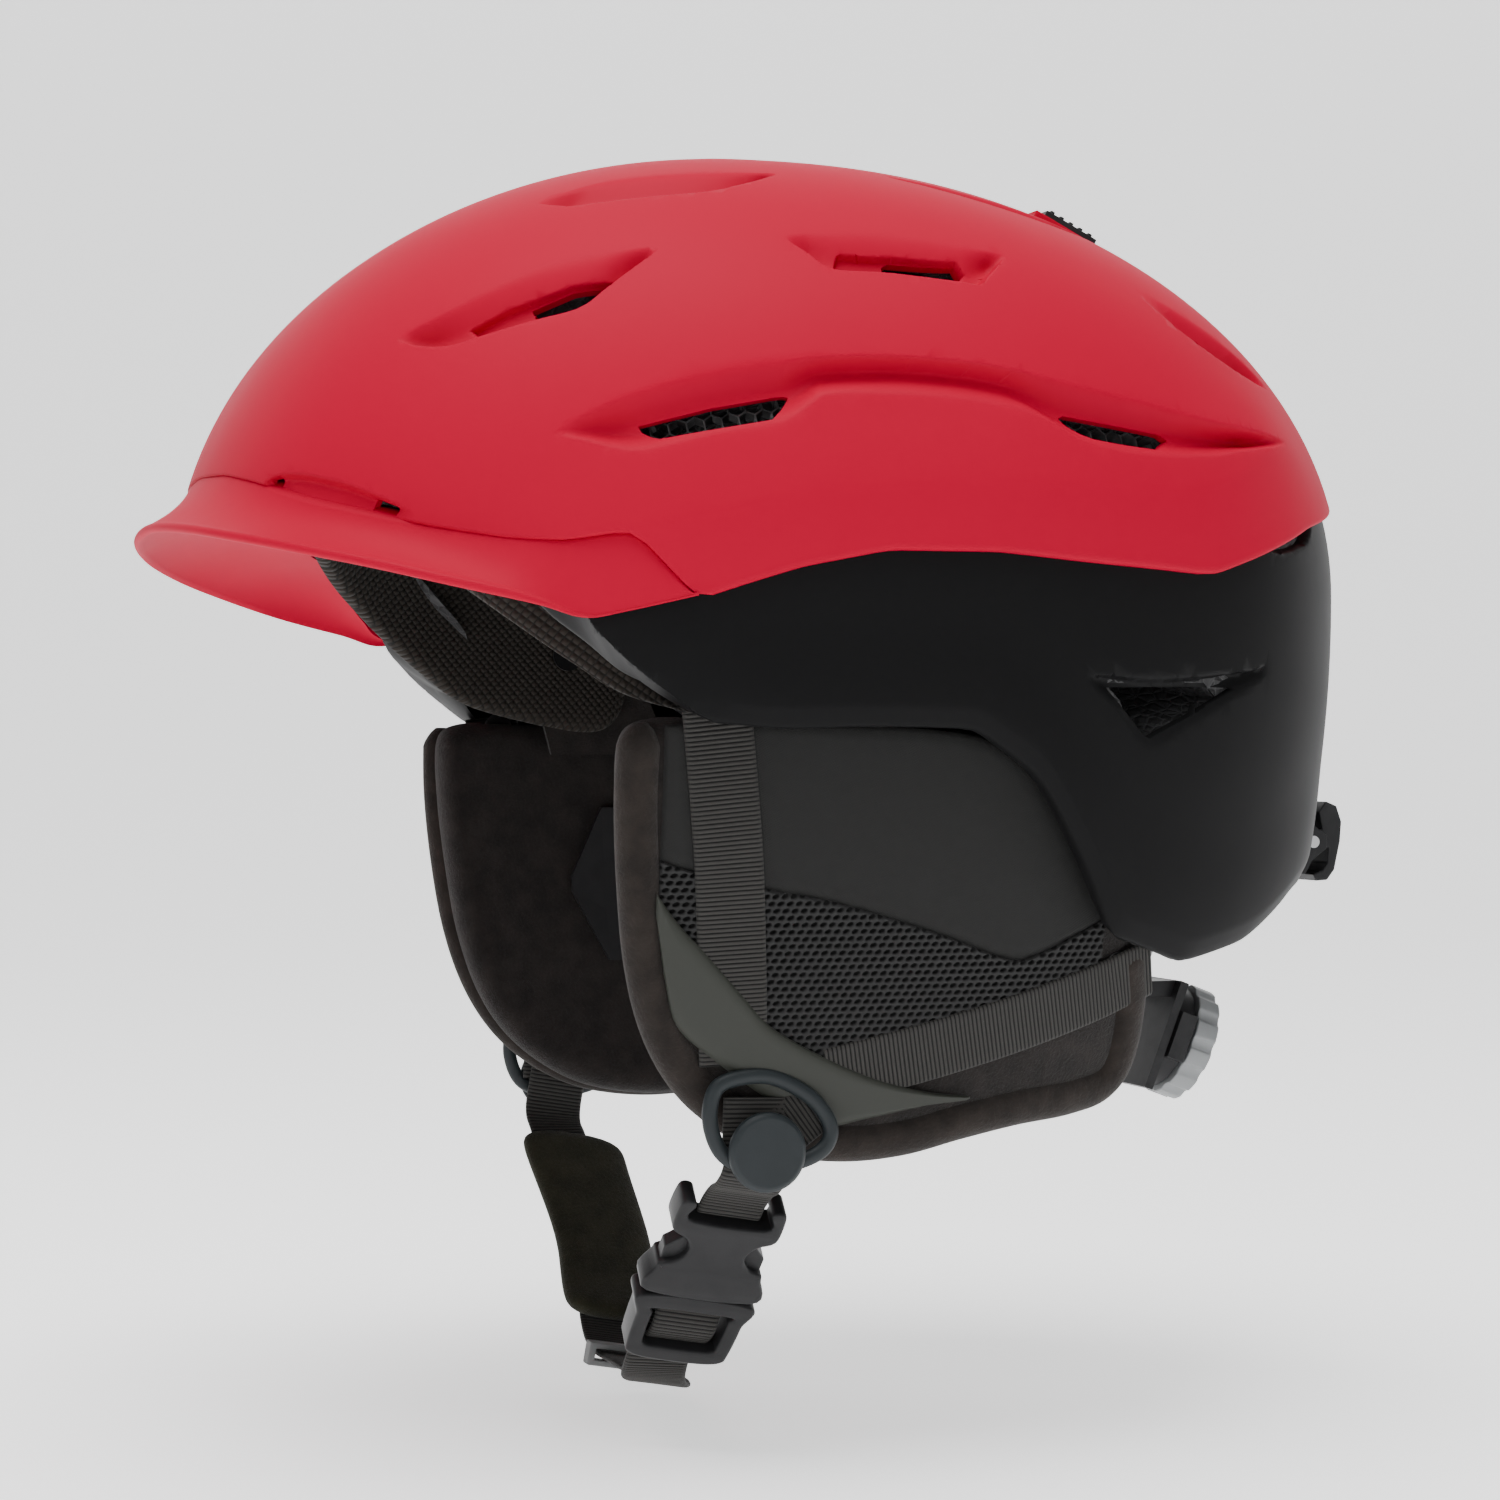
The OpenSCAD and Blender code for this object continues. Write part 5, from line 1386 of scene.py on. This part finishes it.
def build_buckle():
    """Socket, plug frame and the webbing that turns over the plug's bar."""
    socket = moulding("buckle_socket_shell", [flow(whole(SOCKET_HALF), 150, closed=True)],
                      -BUCKLE_HALF_THICK, BUCKLE_HALF_THICK, 1.0)
    dress(socket, "chin_strap", PLASTIC, "black_plastic", "buckle_socket")
    plug = moulding("buckle_plug_frame", [flow(whole(PLUG_HALF), 120, closed=True),
                                          flow(whole(PLUG_WINDOW_HALF), 90, closed=True)],
                    -BUCKLE_HALF_THICK, BUCKLE_HALF_THICK, 0.9)
    dress(plug, "buckle_plug", PLASTIC, "black_plastic", "buckle_plug")
    count = 50
    t = np.linspace(0, 1, count)
    centre = from_buckle(np.stack([2.6 * np.sin(np.pi * t) - 0.6, 0 * t, -30.6 - 12.4 * t], 1))
    across = np.repeat(from_buckle([[0, 1, 0]]) - from_buckle([[0, 0, 0]]), count, 0)
    along = np.gradient(centre, axis=0)
    outward = np.cross(across, along)
    wrap = webbing("ladder_webbing", centre, across, outward, 15.2, WEB_THICK)
    dress(wrap, "buckle_plug", WEBBING, "webbing")


RING_WRAPS = [("front", [(-22.4, -112.4), (-22.5, -116), (-22.6, -120), (-22.8, -124)], 14.4),
              ("rear", [(-8.6, -114.6), (-12, -117), (-16, -120), (-19, -122)], 12)]


def build_ring_wraps():
    """Webbing that turns round the rings: two short lengths behind each cap."""
    for side, word in ((1, "left"), (-1, "right")):
        for name, route, width in RING_WRAPS:
            path = flow(route, 30)
            centre = mirrored(np.stack([WRAP_OUT + 0 * path[:, 0], path[:, 0], path[:, 1]], 1), side)
            outward = np.repeat([[float(side), 0, 0]], 30, 0)
            across = np.cross(outward, np.gradient(centre, axis=0)) * side
            strap = webbing(f"ring_wrap_{name}_{word}", centre, across, outward, width, 1.4)
            dress(strap, "helmet", WEBBING, "webbing")


def build_moulded_parts():
    """Rounded copies of the small moulded CAD parts."""
    for node, body, radius in (("buckle_prong_front", "buckle_prong_front", 0.4),
                               ("buckle_prong_rear", "buckle_prong_rear", 0.4),
                               ("vent_slider", "vent_slider", 0.35), ("dial_housing", "fit_cradle", 0.5),
                               ("goggle_clip", "goggle_clip", 0.5), ("goggle_clip_base", "helmet", 0.4)):
        soften(node, f"{node}_moulded", body, PLASTIC, "black_plastic", radius)
    soften("dial_knob", "dial_knob_moulded", "fit_dial", DIAL, "dial_grey", 0.5)
    soften("slider_track", "slider_frame_moulded", "helmet", RED, "red_shell", 0.5)
    keeper = soften("strap_keeper", "strap_keeper_moulded", "strap_keeper", RUBBER, "keeper_rubber", 0.4)
    keeper_x = -24.0
    back = turn_chin([[0, float(hang(keeper_x)), 0]])[0] * MM
    keeper.data.transform(Matrix.Translation(Vector(back)))
    for word in ("left", "right"):
        soften(f"strap_cap_{word}", f"round_cap_{word}", "chin_strap", RING, "ring_plastic", 0.35)


CAD_FINISHES = {
    "vent_shutter_left": BLACK, "vent_shutter_right": BLACK, "temple_pins": BLACK, "goggle_clip_pin": STEEL,
    "dial_spool": PLASTIC, "cradle_band": PLASTIC, "ear_tab_left": FLEECE, "ear_tab_right": FLEECE,
    "ear_plate_left": DARK_RUBBER, "ear_plate_right": DARK_RUBBER}


def finish_cad_nodes():
    """Materials for the CAD parts that stay as they are."""
    for node, material in CAD_FINISHES.items():
        data = nodes[node].data
        data.materials.clear()
        data.materials.append(material)


# ---------------------------------------------------------------- stage
def plain_paint(name, colour, roughness):
    """Stage paint with a faint mottle."""
    f = Finish(name, colour, roughness)
    g = f.group(GRAIN, Grain_per_metre=60.0)
    f.shader.inputs["Emission Color"].default_value = (1, 1, 1, 1)
    f.shader.inputs["Emission Strength"].default_value = 0.9
    return f.tint(f.m.remap(g.outputs[1], 0.3, 0.7, 0.0, 0.02), (0.85, 0.85, 0.85)).material


def build_stage():
    """Pale floor that curves up into a wall, soft lights and the camera."""
    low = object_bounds()[0][2] - 0.004
    bend = 1.2
    turn = np.linspace(0.1, math.pi / 2, 14)
    cove = [(1.6 + bend * math.sin(a), bend - bend * math.cos(a)) for a in turn]
    profile = np.array([(-3.0, 0.0), (1.6, 0.0)] + cove + [(1.6 + bend, 3.4)])
    swing = math.radians(162)
    back = np.array([math.cos(swing), math.sin(swing)])
    side = np.array([-back[1], back[0]])
    rows = []
    for t in (-5.0, 5.0):
        rows.append(np.stack([profile[:, 0] * back[0] + t * side[0], profile[:, 0] * back[1] + t * side[1],
                              profile[:, 1] + low], 1))
    points = np.concatenate(rows) / MM
    floor = make_object("floor", points, grid_faces(2, len(profile)))
    floor.data.materials.append(plain_paint("pale_floor", (0.93, 0.93, 0.935), 0.9))

    def area(name, place, target, size, power):
        light = bpy.data.lights.new(name, "AREA")
        light.shape = "RECTANGLE"
        light.size, light.size_y = size
        light.energy = power
        obj = bpy.data.objects.new(name, light)
        bpy.context.scene.collection.objects.link(obj)
        obj.location = place
        way = np.array(target) - np.array(place)
        obj.rotation_euler = Vector(way).to_track_quat("-Z", "Y").to_euler()

    area("roof_light", (0.2, -0.15, 1.3), (0, 0, 0), (1.1, 1.1), 30)
    area("key_light", (1.3, -0.9, 0.55), (0, 0, -0.05), (0.9, 0.9), 3.4)
    area("rim_light", (-0.5, 1.3, 0.5), (0, 0, 0), (0.8, 0.8), 0.6)
    world = bpy.data.worlds.new("studio")
    bpy.context.scene.world = world
    world.use_nodes = True
    world.node_tree.nodes["Background"].inputs[0].default_value = (1, 1, 1, 1)
    world.node_tree.nodes["Background"].inputs[1].default_value = 0.34

    yaw = math.radians(18)
    reach = 0.850
    aim = np.array([0, 0.0048, -0.0368])
    camera = bpy.data.cameras.new("camera")
    camera.lens = 36 * 4.1 * reach * 1000 / 1500
    camera.sensor_width = 36
    camera.clip_end = 30
    obj = bpy.data.objects.new("camera", camera)
    bpy.context.scene.collection.objects.link(obj)
    obj.location = aim + reach * np.array([math.cos(yaw), -math.sin(yaw), 0])
    obj.rotation_euler = (math.pi / 2, 0, math.pi / 2 - yaw)
    bpy.context.scene.camera = obj


build_shells()
build_brim()
build_straps()
for hand, hand_word in ((1, "left"), (-1, "right")):
    build_ear_pad(hand, hand_word)
    build_ear_layers(hand, hand_word)
build_comfort_pads()
build_chin_pad()
build_rings()
build_ring_wraps()
build_anchors()
build_honeycombs()
build_buckle()
build_moulded_parts()
finish_cad_nodes()
build_stage()
